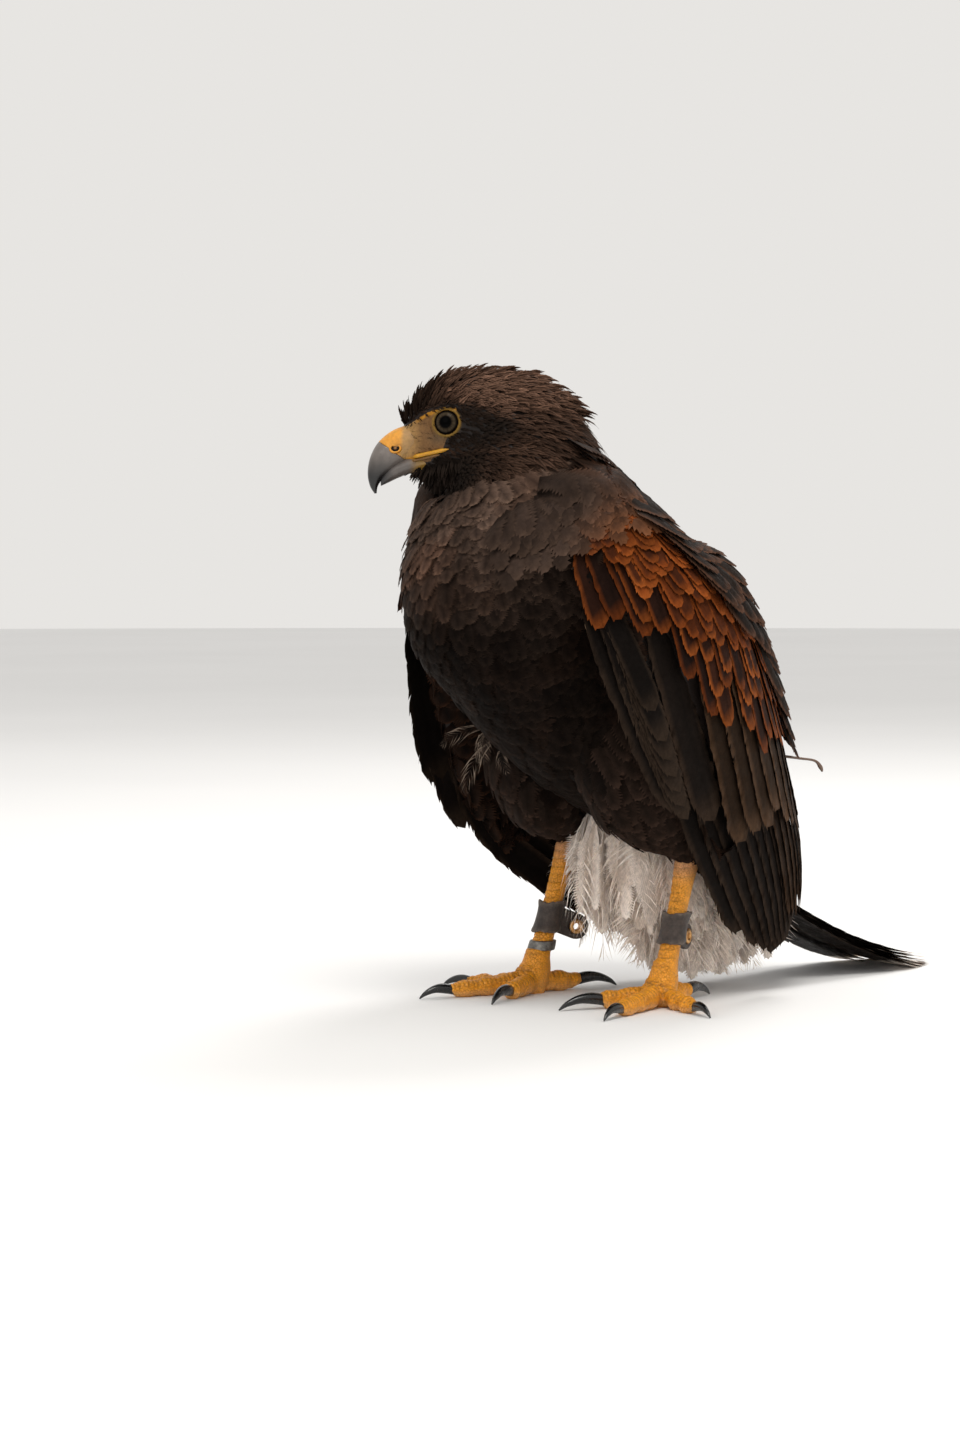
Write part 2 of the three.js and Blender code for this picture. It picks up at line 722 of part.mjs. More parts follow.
function footForm(sideName) {
  const foot = FEET[sideName];
  const side = SIDES[sideName];
  const palm = limb(
    [
      [side * foot.left, foot.forward - 3, SHANK_END + 4, 6],
      [side * foot.left, foot.forward - 1.5, foot.up + 1, 8],
      [side * foot.left, foot.forward + 1, foot.up - 6, 8.4],
      [side * foot.left, foot.forward + 1, -2, 6],
    ], 4, 10);
  const whole = join([palm, ...Object.keys(TOES).map((toe) => toeForm(sideName, toe))]);
  return onFloor(whole.trimByPlane([0, 0, -1], -SHANK_END));
}

// A band round the shank from a height upwards, snug on the leg, its two edges flared.
function band(sideName, up, height, wall, flare) {
  const spots = [];
  for (const [share, wide] of [[0, flare], [0.16, 0], [0.84, 0], [1, flare]]) {
    const [left, forward, level, radius] = shankAt(sideName, up + height * (1 - share));
    spots.push([left, forward, level, radius + GAP + wall + wide]);
  }
  return limb(spots, 3, 12);
}

// Turns a flat form that lies in X and Z into the place behind the shank where the anklet's ends meet.
function behindShank(sideName, geometry) {
  const [left, forward, level] = shankAt(sideName, ANKLET.up + ANKLET.height / 2);
  geometry.rotateY(radians(ANKLET.sag));
  geometry.rotateZ(radians(SIDES[sideName] > 0 ? 112 : 62));
  geometry.translate(left, -forward, level);
  return solidOf(geometry);
}

// The anklet's ends are laid together behind the leg in a flat tab with an eyelet.
function ankletTab(sideName) {
  const half = ANKLET.tabHeight / 2;
  const end = ANKLET.tab - half + 2;
  const tab = new THREE.Shape();
  tab.moveTo(2, -half);
  tab.lineTo(end, -half);
  tab.absarc(end, 0, half, -Math.PI / 2, Math.PI / 2, false);
  tab.lineTo(2, half);
  const hole = new THREE.Path();
  hole.absarc(end, 0, 3.1, 0, 2 * Math.PI, true);
  tab.holes.push(hole);
  const geometry = new THREE.ExtrudeGeometry(tab, { depth: 2 * ANKLET.wall, bevelEnabled: false, curveSegments: 6 });
  geometry.translate(0, 0, -ANKLET.wall);
  geometry.rotateX(Math.PI / 2);
  return behindShank(sideName, geometry);
}

// A brass eyelet: a tube through the tab with a flat rim on both faces.
function eyelet(sideName) {
  const [bore, tube, rim] = [1.9, 2.7, 4.3];
  const [face, top] = [ANKLET.wall + GAP, ANKLET.wall + GAP + 0.5];
  const outline = [
    [bore, top], [bore, -top], [rim, -top], [rim, -face], [tube, -face], [tube, face], [rim, face], [rim, top],
    [bore, top],
  ];
  const geometry = new THREE.LatheGeometry(outline.map(([r, h]) => new THREE.Vector2(r, h)), 10);
  geometry.translate(ANKLET.tab - ANKLET.tabHeight / 2 + 2, 0, 0);
  return behindShank(sideName, geometry);
}

// Assembly: each piece is cut clear of what it grows from, so that they meet face to face

const hawk = new THREE.Group();

function add(name, solid, colour) {
  const [hex, roughness] = COLOURS[colour];
  const metalness = colour === "brass" || colour === "ring" ? 0.8 : 0;
  const material = new THREE.MeshStandardMaterial({ color: hex, roughness, metalness });
  const mesh = new THREE.Mesh(geometryOf(largest(solid)), material);
  mesh.name = name;
  hawk.add(mesh);
}

const neckPlane = { normal: [0, -Math.cos(radians(68)), Math.sin(radians(68))] };
neckPlane.offset = new THREE.Vector3(...neckPlane.normal).dot(place(0, 54, NECK_CUT));
const body = bodyForm();
const bodyRoom = bodyForm(GAP);
const torso = body.trimByPlane(neckPlane.normal.map((n) => -n), -neckPlane.offset + GAP / 2);
const neck = body.trimByPlane(neckPlane.normal, neckPlane.offset + GAP / 2);

function buildHead() {
  const eyes = Object.values(SIDES).map((side) => eyeForm(side, 2 * GAP, 2));
  const forms = [headForm()];
  for (const side of Object.values(SIDES)) {
    forms.push(eyeLid(side), brow(side), lip(side, 0.9, 26, 44), lip(side, -1.6, 27, 40));
  }
  add("head", cut(join(forms), ...eyes, billForm(GAP), lowerBillForm(GAP)), "plumage");
  add("neck", cut(neck, headForm(GAP)), "plumage");
  const nostrils = Object.values(SIDES).map(nostril);
  add("cere", cut(billCut(billForm(), -1), ...nostrils), "cere");
  add("bill_upper", billCut(billForm(), 1), "bill");
  add("bill_lower", cut(lowerBillForm(), billForm(GAP)), "bill");
  for (const [name, side] of Object.entries(SIDES)) add(`eye_${name}`, eyeForm(side), "eye");
}

function buildWing(sideName) {
  const feathers = TIERS.map((tier) => wingTier(sideName, tier));
  const wing = join([wingFlesh(sideName), ...feathers]);
  const legRoom = thighForm(sideName, GAP);
  add(`wing_${sideName}`, onFloor(cut(wing, bodyRoom, headForm(GAP), legRoom)), "flight");
}

function buildTail() {
  const feathers = [];
  for (let pair = 0; pair < TAIL.pairs; pair++) {
    for (const side of Object.values(SIDES)) feathers.push(tailFeather(pair, side));
  }
  const tail = join([tailRoot(), tailCoverts(), ...feathers]);
  const solid = onFloor(cut(tail, bodyRoom));
  add("tail", solid, "tail");
  return solid;
}

function buildLeg(sideName) {
  const shank = shankForm(sideName);
  const foot = footForm(sideName);
  const hockLevel = FEET[sideName].hock.up - 3;
  const shankTop = shank.trimByPlane([0, 0, -1], -hockLevel + GAP);
  add(`thigh_${sideName}`, cut(thighForm(sideName), bodyRoom).trimByPlane([0, 0, 1], hockLevel), "plumage");
  add(`shank_${sideName}`, shankTop.trimByPlane([0, 0, 1], SHANK_END + GAP), "leg");
  add(`foot_${sideName}`, foot, "leg");
  for (const toe of Object.keys(TOES)) {
    add(`claw_${toe}_${sideName}`, onFloor(cut(clawForm(sideName, toe), foot)), "claw");
  }
  const legRoom = shankForm(sideName, GAP);
  const cuff = band(sideName, ANKLET.up, ANKLET.height, ANKLET.wall, ANKLET.flare);
  add(`anklet_${sideName}`, cut(join([cuff, ankletTab(sideName)]), legRoom), "leather");
  add(`eyelet_${sideName}`, eyelet(sideName), "brass");
  if (sideName === "right") add("leg_ring", cut(band(sideName, RING.up, RING.height, RING.wall, 0), legRoom), "ring");
}

buildHead();
add("torso", torso, "plumage");
for (const sideName of Object.keys(SIDES)) {
  buildWing(sideName);
  buildLeg(sideName);
}
const tailSolid = buildTail();
add("undertail_coverts",
  cut(join([ventForm(), ventPlumes()]), bodyRoom, tailSolid, thighForm("left", GAP), thighForm("right", GAP)), "white");

// The origin goes to the middle of the bounding box at floor level.
hawk.updateMatrixWorld(true);
const box = new THREE.Box3().setFromObject(hawk, true);
const middle = box.getCenter(new THREE.Vector3());
hawk.position.set(-middle.x, -middle.y, -box.min.z);

export default hawk;
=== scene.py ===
# A life-size Harris hawk in full plumage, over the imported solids.
# Places are worked out in millimetres as left, forward and up from the point between the feet, and turned
# into metres in the row frame when a mesh is made.
import itertools
import math

import bmesh
import bpy
import numpy as np
from mathutils import Matrix, Vector, kdtree
from mathutils.bvhtree import BVHTree


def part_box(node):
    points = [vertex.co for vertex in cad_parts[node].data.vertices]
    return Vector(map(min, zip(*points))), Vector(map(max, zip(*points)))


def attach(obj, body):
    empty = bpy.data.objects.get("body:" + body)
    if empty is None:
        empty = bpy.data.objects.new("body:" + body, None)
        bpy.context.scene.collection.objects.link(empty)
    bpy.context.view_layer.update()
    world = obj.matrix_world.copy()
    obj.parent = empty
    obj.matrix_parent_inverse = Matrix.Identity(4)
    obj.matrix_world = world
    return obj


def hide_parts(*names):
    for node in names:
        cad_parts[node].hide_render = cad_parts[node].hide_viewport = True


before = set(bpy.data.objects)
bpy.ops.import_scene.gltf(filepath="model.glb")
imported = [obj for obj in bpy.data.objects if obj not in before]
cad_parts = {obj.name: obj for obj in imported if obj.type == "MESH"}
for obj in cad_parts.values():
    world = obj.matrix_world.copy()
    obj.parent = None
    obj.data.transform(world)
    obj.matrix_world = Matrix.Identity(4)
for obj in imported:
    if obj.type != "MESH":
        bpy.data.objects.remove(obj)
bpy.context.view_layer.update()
chance = np.random.default_rng(11)

# Driving dimensions, in millimetres and degrees, the same as in the solids
GAP = 0.3
SIDES = {"left": 1, "right": -1}
HEAD_CENTRE = (-11, 66.5, 304.5)
HEAD_TURN = 38
BODY_FROM = 47  # where the body's feathers start, from the head's centre
HEAD_TO = 52  # where the head's feathers end, so the two overlap
EYE = {"radius": 8.4, "forward": 26, "aside": 11.6, "up": -1.7}
TAIL = {"length": 228, "forward": -52, "up": 103, "slope_start": 44, "slope_end": 8, "pairs": 6,
        "half_width": 12}
FEET = {
    "left": {"left": 43, "forward": 0, "up": 13, "heading": 20, "hock": (44, -19, 79)},
    "right": {"left": 42, "forward": 12, "up": 13, "heading": 15, "hock": (42, -15, 84)},
}
TOES = {
    "middle": {"length": 50, "base": 6.2, "tip": 4.1, "turn": 0, "claw": 19, "knuckles": 4},
    "inner": {"length": 34, "base": 6.2, "tip": 4.6, "turn": -40, "claw": 25, "knuckles": 3},
    "outer": {"length": 38, "base": 5.4, "tip": 3.8, "turn": 52, "claw": 17, "knuckles": 4},
    "hind": {"length": 27, "base": 6.4, "tip": 4.8, "turn": 176, "claw": 27, "knuckles": 2},
}
TOE_SCUTE, SHANK_SCUTE, KNUCKLE_SPACING = 2.7, 4.2, 12.5
ANKLET = {"height": 17, "wall": 1.6, "up": 32, "flare": 1.6, "tab": 21, "tab_height": 14, "sag": 22}
RING = {"height": 5.5, "wall": 1.5, "up": 22.5}
CERE_END = {"forward": 53.6, "up": -16.5, "lean": 55}
NOSTRIL = {"forward": 53.4, "up": -14.4}

# How deep the skin lies under the outline of the coat
DEPTH = {"body": 5.5, "head": 3.4, "face": 1.1, "thigh": 5.5, "wing": 6.0, "vent": 5.0, "tail": 2.0}
SLUMP = {"centre": (46, 2, 263), "depth": 23, "reach": 40}
WING_FRONT = {"left": 0.0, "right": 0.035}
FLESH_END = 0.62  # where the flesh ends, as a share of the folded wing
VOXEL = 1.7
LEG_VOXEL = 0.75
PATCH = 0.003  # how wide each tuft's patch is in the map that the colours are baked on
MOST_TRIANGLES = 190000

# forward, up, pitch of the axis in degrees, half-width, depth to the back, depth to the breast
BODY_ROWS = [
    [-60, 94, 46, 9, 6, 7],
    [-50, 104, 48, 23, 20, 26],
    [-26, 132, 53, 43, 42, 50],
    [0, 163, 56, 55, 54, 66],
    [22, 194, 58, 60, 58, 76],
    [40, 222, 61, 62, 56, 83],
    [51, 246, 65, 59, 52, 76],
    [56, 266, 70, 51, 49, 60],
    [57, 283, 75, 41, 44, 47],
    [59, 297, 80, 32, 38, 37],
    [62, 309, 84, 22, 27, 26],
]
# forward, top, underside, half-width
HEAD_ROWS = [
    [-48, -10, -22, 6],
    [-43, -1, -32, 14],
    [-34, 13, -38, 21.5],
    [-20, 23.5, -39.5, 26],
    [-5, 28, -39.5, 27],
    [10, 28.8, -37, 25.5],
    [23, 25, -34, 20.5],
    [33, 18.5, -30, 15.4],
    [40.5, 11, -26.5, 11.5],
    [46, 3, -24, 9],
    [49.5, -4.5, -22, 7.2],
]
# forward, up, pitch, half-width, thickness above and below the axis
BILL_ROWS = [
    [38, -9.5, -14, 9.4, 10.2, 8],
    [45, -10.5, -17, 8.6, 8.7, 8.6],
    [51.5, -12.6, -26, 7.4, 8.1, 9.4],
    [57.2, -16.8, -43, 6.3, 7.3, 9.5],
    [61.2, -22.4, -62, 4.9, 5.8, 8.2],
    [63.5, -28.4, -80, 3.4, 3.9, 4.8],
    [63.9, -33.6, -94, 2, 2.2, 1.9],
    [63.2, -37.4, -100, 0.6, 0.6, 0.5],
]
# forward, top, underside, half-width
LOWER_BILL_ROWS = [
    [28, -14.5, -24.6, 9.6],
    [38, -16.5, -25.6, 8],
    [46, -18, -27.4, 6.6],
    [52, -20.5, -29.6, 5.2],
    [57, -24, -32, 3.8],
    [60.6, -28.6, -33.6, 1.8],
]
# The edges of the folded wing's sheet: left, forward, up
LOWER_EDGE = [[64, 88, 232], [72, 64, 184], [68, 28, 132], [59, -16, 80], [47, -60, 38], [38, -88, 15]]
UPPER_EDGE = [[30, 20, 281], [23, -34, 242], [15, -72, 195], [15, -98, 146], [27, -111, 97], [42, -106, 50]]
WING_BULGE = [19, 25, 25, 20, 12, 6]
WING_DROOP = {"left": [0, 0], "right": [-9, -1, 20, 35, 13, 0]}
WING_OUT = [9.5, 14.2, 14.2, 11.4, 7.6, 3.8, 1.2, 0.9]
WING_IN = [9, 16, 18, 15, 9, 4, 1.1, 0.9]


# Small helpers


def mix(a, b, t):
    return a + (b - a) * t


def smooth(low, high, x):
    t = np.clip((np.asarray(x, float) - low) / (high - low), 0, 1)
    return t * t * (3 - 2 * t)


def hill(x, middle, width):
    """One at the middle, falling smoothly to nothing on both sides."""
    return np.exp(-((x - middle) / width) ** 2)


def unit(v):
    return v / (np.linalg.norm(v, axis=-1, keepdims=True) + 1e-12)


def dot(a, b):
    return (a * b).sum(-1, keepdims=True)


def repeated(row, count):
    return np.tile(row, (count, 1))


def place(left, forward, up):
    left, forward, up = np.broadcast_arrays(np.asarray(left, float), forward, up)
    return np.stack([left, -forward, up], -1)


def between(before, here, there, after, k):
    """A smooth curve from here to there, for shares k, which heads on from before and towards after."""
    bend = 2 * before - 5 * here + 4 * there - after + k * (3 * (here - there) + after - before)
    return here + 0.5 * k * (there - before + k * bend)


def row_at(rows, t):
    """The row at a share t of the way through a table of rows, on a smooth curve through them."""
    rows = np.asarray(rows, float)
    if rows.ndim == 1:
        rows = rows[:, None]
    x = np.clip(np.asarray(t, float), 0, 1) * (len(rows) - 1)
    i = np.minimum(np.floor(x).astype(int), len(rows) - 2)
    k = (x - i)[..., None]
    before, here = rows[np.maximum(i - 1, 0)], rows[i]
    there, after = rows[i + 1], rows[np.minimum(i + 2, len(rows) - 1)]
    return between(before, here, there, after, k)


def steps(x, xs, ys):
    return np.interp(x, xs, ys)


def paint(text):
    """A hexadecimal screen colour as linear red, green and blue."""
    screen = np.array([int(text[i:i + 2], 16) for i in (0, 2, 4)]) / 255
    return np.where(screen <= 0.04045, screen / 12.92, ((screen + 0.055) / 1.055) ** 2.4)


# The head's own frame


def head_point(forward, aside, up):
    turn = math.radians(HEAD_TURN)
    forward, aside, up = [np.asarray(x, float) for x in (forward, aside, up)]
    left = HEAD_CENTRE[0] - forward * math.sin(turn) + aside * math.cos(turn)
    ahead = HEAD_CENTRE[1] + forward * math.cos(turn) + aside * math.sin(turn)
    return place(left, ahead, HEAD_CENTRE[2] + up)


def head_direction(forward, aside, up):
    return head_point(forward, aside, up) - head_point(0, 0, 0)


def head_place(points):
    """Forward, aside and up in the head's frame."""
    turn = math.radians(HEAD_TURN)
    left = points[..., 0] - HEAD_CENTRE[0]
    ahead = -points[..., 1] - HEAD_CENTRE[1]
    forward = -left * math.sin(turn) + ahead * math.cos(turn)
    aside = left * math.cos(turn) + ahead * math.sin(turn)
    return forward, aside, points[..., 2] - HEAD_CENTRE[2]


def shift_to_row_frame():
    low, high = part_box("eye_left")
    middle = np.array((low + high) / 2) * 1000
    return middle - head_point(EYE["forward"], EYE["aside"], EYE["up"])


SHIFT = shift_to_row_frame()


def metres(points):
    return (np.asarray(points, float) + SHIFT) / 1000


def millimetres(points):
    return np.asarray(points, float) * 1000 - SHIFT


# Forms: each is an array of rings of points


def full_turn(sides):
    return 2 * np.pi * np.arange(sides) / sides


def ovals(centre, across, over, under, sides, power=1.0):
    angle = full_turn(sides)
    bulge = lambda x: np.sign(x) * np.abs(x) ** power
    c, s = bulge(np.cos(angle)), bulge(np.sin(angle))
    up_part = np.maximum(s, 0)[None, :, None] * over[:, None, :]
    down_part = np.maximum(-s, 0)[None, :, None] * under[:, None, :]
    return centre[:, None, :] + c[None, :, None] * across[:, None, :] + up_part + down_part


def limb(rows, count, sides, grow=0.0, flatten=1.0):
    rows = np.asarray(rows, float)
    t = np.linspace(0, 1, count + 1)
    here = row_at(rows, t)
    run = unit(place(*(rows[-1] - rows[0])[:3]))
    ahead, behind = row_at(rows, np.minimum(t + 0.02, 1)), row_at(rows, np.maximum(t - 0.02, 0))
    along = unit(place(*(ahead - behind)[:, :3].T))
    side = np.tile([1.0, 0, 0], (count + 1, 1)) if abs(run[2]) > 0.6 else np.cross([0, 0, 1.0], along)
    side = unit(side - dot(side, along) * along)
    over = unit(np.cross(along, side))
    radius = np.maximum(here[:, 3:4], 0.3) + grow
    flat = over * radius * flatten
    return ovals(place(*here[:, :3].T), side * radius, flat, -flat, sides)


def slumped(points):
    """Points let down where the plumage between neck and shoulder lies lower than the solids do."""
    away = np.linalg.norm(points - np.array(SLUMP["centre"]), axis=-1)
    return points - hill(away, 0, SLUMP["reach"])[..., None] * np.array([0, 0, SLUMP["depth"]])


def body_form(grow, count=60, sides=48):
    forward, up, pitch, width, back, front = row_at(BODY_ROWS, np.linspace(0, 1, count + 1)).T
    c, s = np.cos(np.radians(pitch)), np.sin(np.radians(pitch))
    zero = np.zeros_like(c)
    over = place(zero, -s, c)
    rings = ovals(place(zero, forward, up), place(width + grow, zero, zero), over * (back + grow)[:, None],
                  -over * (front + grow)[:, None], sides, 0.92)
    return slumped(rings)


def head_form(grow, count=48, sides=48):
    forward, top, under, width = row_at(HEAD_ROWS, np.linspace(0, 1, count + 1)).T
    grow = grow(forward)
    half = (top - under) / 2 + grow
    zero = np.zeros_like(half)
    up = head_direction(zero, zero, half)
    across = head_direction(zero, width + grow, zero)
    return ovals(head_point(forward, zero, (top + under) / 2), across, up, -up, sides, 0.95)


def bill_form(count, sides):
    forward, up, pitch, width, above, below = row_at(BILL_ROWS, np.linspace(0, 1, count + 1)).T
    c, s = np.cos(np.radians(pitch)), np.sin(np.radians(pitch))
    zero = np.zeros_like(c)
    over = head_direction(-s * above, zero, c * above)
    under = head_direction(s * below, zero, -c * below)
    return ovals(head_point(forward, zero, up), head_direction(zero, width, zero), over, under, sides)


def lower_bill_form(count, sides):
    forward, top, under, width = row_at(LOWER_BILL_ROWS, np.linspace(0, 1, count + 1)).T
    zero = np.zeros_like(top)
    up = head_direction(zero, zero, (top - under) / 2)
    across = head_direction(zero, width, zero)
    return ovals(head_point(forward, zero, (top + under) / 2), across, up, -up, sides)


def wing_sheet(side_name, along, across):
    side = SIDES[side_name]
    along, across = np.broadcast_arrays(np.asarray(along, float), np.asarray(across, float))

    def within(s, t):
        lower, upper = row_at(LOWER_EDGE, s), row_at(UPPER_EDGE, s)
        droop = row_at(WING_DROOP[side_name], s)[..., 0] * (1 - t)
        left, forward, up = np.moveaxis(mix(lower, upper, t[..., None]), -1, 0)
        return place(side * (left + droop * 0.5), forward + droop * 0.87, up)

    def sheet(s, t):
        inside = np.clip(s, 0.0, 1.0)
        near = np.where(inside < 0.5, 0.0, 0.97)
        slope = (within(near + 0.03, t) - within(near, t)) / 0.03
        return within(inside, t) + slope * (s - inside)[..., None]

    step = 0.01
    down = sheet(along + step, across) - sheet(along - step, across)
    over = sheet(along, across + step) - sheet(along, across - step)
    out = unit(np.cross(down, over) * side)
    bulge = row_at(WING_BULGE, along) * (4 * across * (1 - across))[..., None]
    return slumped(sheet(along, across) + out * bulge)


def table_of(function, first, last, counts):
    """A function of two numbers, looked up in a table of its values to save time."""
    axes = [np.linspace(a, b, n) for a, b, n in zip(first, last, counts)]
    values = function(*np.meshgrid(*axes, indexing="ij"))

    def look(x, y):
        x, y = np.broadcast_arrays(np.asarray(x, float), np.asarray(y, float))
        cells, shares = [], []
        for at, a, b, n in zip((x, y), first, last, counts):
            spot = np.clip((at - a) / (b - a) * (n - 1), 0, n - 1.001)
            cells.append(spot.astype(int))
            shares.append((spot - np.floor(spot))[..., None])
        (i, j), (p, q) = cells, shares
        return mix(mix(values[i, j], values[i + 1, j], p), mix(values[i, j + 1], values[i + 1, j + 1], p), q)

    return look


def wing_frame(side_name, along, across):
    step = 0.02
    down = wing_sheet(side_name, along + step, across) - wing_sheet(side_name, along - step, across)
    over = wing_sheet(side_name, along, across + step) - wing_sheet(side_name, along, across - step)
    out = unit(np.cross(down, over) * SIDES[side_name])
    return np.concatenate([wing_sheet(side_name, along, across), out, unit(over)], -1)


WING_TABLES = {}


def wing_spot(side_name, along, across):
    """A point on the folded wing's sheet, with the directions out of it and over to its upper edge."""
    if side_name not in WING_TABLES:
        frame_there = lambda s, t: wing_frame(side_name, s, t)
        WING_TABLES[side_name] = table_of(frame_there, (-0.3, -0.35), (1.06, 1.15), (160, 90))
    found = WING_TABLES[side_name](along, across)
    return found[..., :3], unit(found[..., 3:6]), unit(found[..., 6:])


def wing_flesh(side_name, grow, count=30, columns=16):
    rings = []
    across = np.linspace(0, 1, columns + 1)
    rounding = np.sqrt(np.maximum(0, 1 - np.abs(2 * across - 1) ** 4)) * 0.82 + 0.18
    for along in np.linspace(0, FLESH_END, count + 1):
        point, out, _ = wing_spot(side_name, np.full_like(across, along), 0.03 + 0.94 * across)
        outer = np.maximum(row_at(WING_OUT, along)[0] + grow, 1.2) * rounding
        inner = np.maximum(row_at(WING_IN, along)[0] + grow, 1.2) * rounding
        rings.append(np.concatenate([point + out * outer[:, None], (point - out * inner[:, None])[::-1]]))
    return np.array(rings)


def tail_spot(distance):
    distance = np.asarray(distance, float)
    forward, up = TAIL["forward"] + 0 * distance, TAIL["up"] + 0 * distance
    count = 24
    slope = 0
    for i in range(count):
        share = np.clip(distance * (i + 0.5) / count / TAIL["length"], 0, 1)
        slope = np.radians(mix(TAIL["slope_start"], TAIL["slope_end"], share))
        forward = forward - np.cos(slope) * distance / count
        up = up - np.sin(slope) * distance / count
    zero = np.zeros_like(distance)
    return place(zero, forward, up), place(zero, -np.sin(slope), np.cos(slope))


def tail_root(grow):
    rows = [[2, 17, 10, 11], [14, 20, 10, 12], [28, 20, 8.5, 12], [44, 18, 5.5, 11.5], [58, 15, 1.4, 10.5]]
    distance, width, above, below = row_at(rows, np.linspace(0, 1, 16)).T
    point, normal = tail_spot(distance)
    zero = np.zeros_like(width)
    return ovals(point, place(width + grow, zero, zero), normal * np.maximum(above + grow, 1)[:, None],
                 -normal * np.maximum(below + grow, 1)[:, None], 32, 0.9)


def vent_form(grow):
    return limb([[0, -24, 103, 6], [0, -34, 90, 15], [2, -46, 76, 18], [4, -62, 64, 15], [5, -78, 54, 9],
                 [5, -88, 48, 3]], 24, 28, grow, 0.8)


def thigh_rows(side_name):
    side = SIDES[side_name]
    left, forward, up = FEET[side_name]["hock"]
    return [
        [side * 24, 20, 178, 18],
        [side * 29, 20, 158, 27],
        [side * 33, 17, 136, 31],
        [side * 36, 9, 113, 28],
        [side * (left - 2), forward + 12, up + 18, 20],
        [side * left, forward + 3, up + 5, 11.5],
        [side * left, forward - 1, up - 5, 6.6],
    ]


def shank_rows(side_name):
    side = SIDES[side_name]
    foot = FEET[side_name]
    left, forward, up = foot["hock"]

    def spot(t, radius):
        ahead, height = mix(forward, foot["forward"] - 2, t), mix(up, foot["up"] + 1, t)
        return [side * mix(left, foot["left"], t), ahead, height, radius]

    return [spot(-0.06, 5.5), spot(0.08, 6.3), spot(0.3, 5.3), spot(0.6, 5), spot(0.85, 5.6), spot(1, 6.8)]


def shank_at(side_name, up):
    """The shank at a height: left, forward, up, radius."""
    t = np.linspace(0, 1, 200)
    rows = row_at(shank_rows(side_name), t)
    order = np.argsort(rows[:, 2])
    return [float(np.interp(up, rows[order, 2], rows[order, i])) for i in range(4)]


def toe_heading(side_name, toe):
    return SIDES[side_name] * math.radians(FEET[side_name]["heading"] + TOES[toe]["turn"])


def toe_point(side_name, toe, distance, up):
    foot = FEET[side_name]
    heading = toe_heading(side_name, toe)
    return [SIDES[side_name] * foot["left"] + math.sin(heading) * distance,
            foot["forward"] + math.cos(heading) * distance, up]


def toe_form(side_name, toe, sides=20):
    kind = TOES[toe]
    count = kind["knuckles"] * 9
    rows = []
    for i in range(count + 1):
        t = i / count
        pad = 0.5 + 0.5 * math.cos(2 * math.pi * kind["knuckles"] * t)
        radius = mix(kind["base"], kind["tip"], t) * (0.88 + 0.14 * pad) * (0.72 if i == count else 1)
        rise = max(0, 1 - 3.2 * t) ** 1.4 * 6 + 0.9 * (1 - pad)
        rows.append([*toe_point(side_name, toe, kind["length"] * t, radius - 0.5 + rise), radius])
    return limb(rows, count, sides)


def claw_form(side_name, toe):
    kind = TOES[toe]
    length, tip, claw = kind["length"], kind["tip"], kind["claw"]
    spots = [(-2.5, 0.95, 0.62), (claw * 0.22, 1.28, 0.66), (claw * 0.52, 1.22, 0.5), (claw * 0.8, 0.72, 0.3)]
    rows = [[*toe_point(side_name, toe, length + ahead, tip * up), tip * radius]
            for ahead, up, radius in spots]
    rows.append([*toe_point(side_name, toe, length + claw * 0.97, 0.55), 0.4])
    return limb(rows, 22, 16)


def palm_form(side_name):
    foot, side = FEET[side_name], SIDES[side_name]
    return limb([
        [side * foot["left"], foot["forward"] - 3, 23, 6],
        [side * foot["left"], foot["forward"] - 1.5, foot["up"] + 1, 8],
        [side * foot["left"], foot["forward"] + 1, foot["up"] - 6, 8.4],
        [side * foot["left"], foot["forward"] + 1, -2, 6],
    ], 16, 24)


# Meshes


def loft_faces(rings):
    """Points, quads and end triangles of a closed form through rings."""
    count, sides = rings.shape[:2]
    i, j = np.meshgrid(np.arange(count - 1), np.arange(sides), indexing="ij")
    k = (j + 1) % sides
    m = i + 1
    quads = np.stack([i * sides + j, i * sides + k, m * sides + k, m * sides + j], -1).reshape(-1, 4)
    j = np.arange(1, sides - 1)
    last = (count - 1) * sides
    first_end = np.stack([0 * j, j + 1, j], -1)
    last_end = np.stack([0 * j + last, last + j, last + j + 1], -1)
    return rings.reshape(-1, 3), quads, np.concatenate([first_end, last_end])


def volume(points, quads, triangles):
    tri = np.concatenate([triangles, quads[:, [0, 1, 2]], quads[:, [0, 2, 3]]])
    a, b, c = points[tri[:, 0]], points[tri[:, 1]], points[tri[:, 2]]
    return (a * np.cross(b, c)).sum() / 6


def closed(rings):
    points, quads, ends = loft_faces(rings)
    if volume(points, quads, ends) < 0:
        quads, ends = quads[:, ::-1], ends[:, ::-1]
    return points, quads, ends


def new_mesh(name, points, groups, tint=None, maps=None):
    """A mesh from points in millimetres and arrays of faces, each with one number of corners."""
    groups = [np.asarray(g, np.int32) for g in groups if len(g)]
    mesh = bpy.data.meshes.new(name)
    loops = np.concatenate([g.ravel() for g in groups])
    sizes = np.concatenate([np.full(len(g), g.shape[1], np.int32) for g in groups])
    mesh.vertices.add(len(points))
    mesh.vertices.foreach_set("co", metres(points).astype(np.float32).ravel())
    mesh.loops.add(len(loops))
    mesh.loops.foreach_set("vertex_index", loops)
    mesh.polygons.add(len(sizes))
    mesh.polygons.foreach_set("loop_start", np.concatenate([[0], np.cumsum(sizes)[:-1]]).astype(np.int32))
    mesh.update(calc_edges=True)
    mesh.validate()
    shade_smoothly(mesh)
    if tint is not None:
        set_tint(mesh, tint)
    for map_name, values in (maps or {}).items():
        layer = mesh.uv_layers.new(name=map_name)
        layer.data.foreach_set("uv", values[loops].astype(np.float32).ravel())
    return mesh


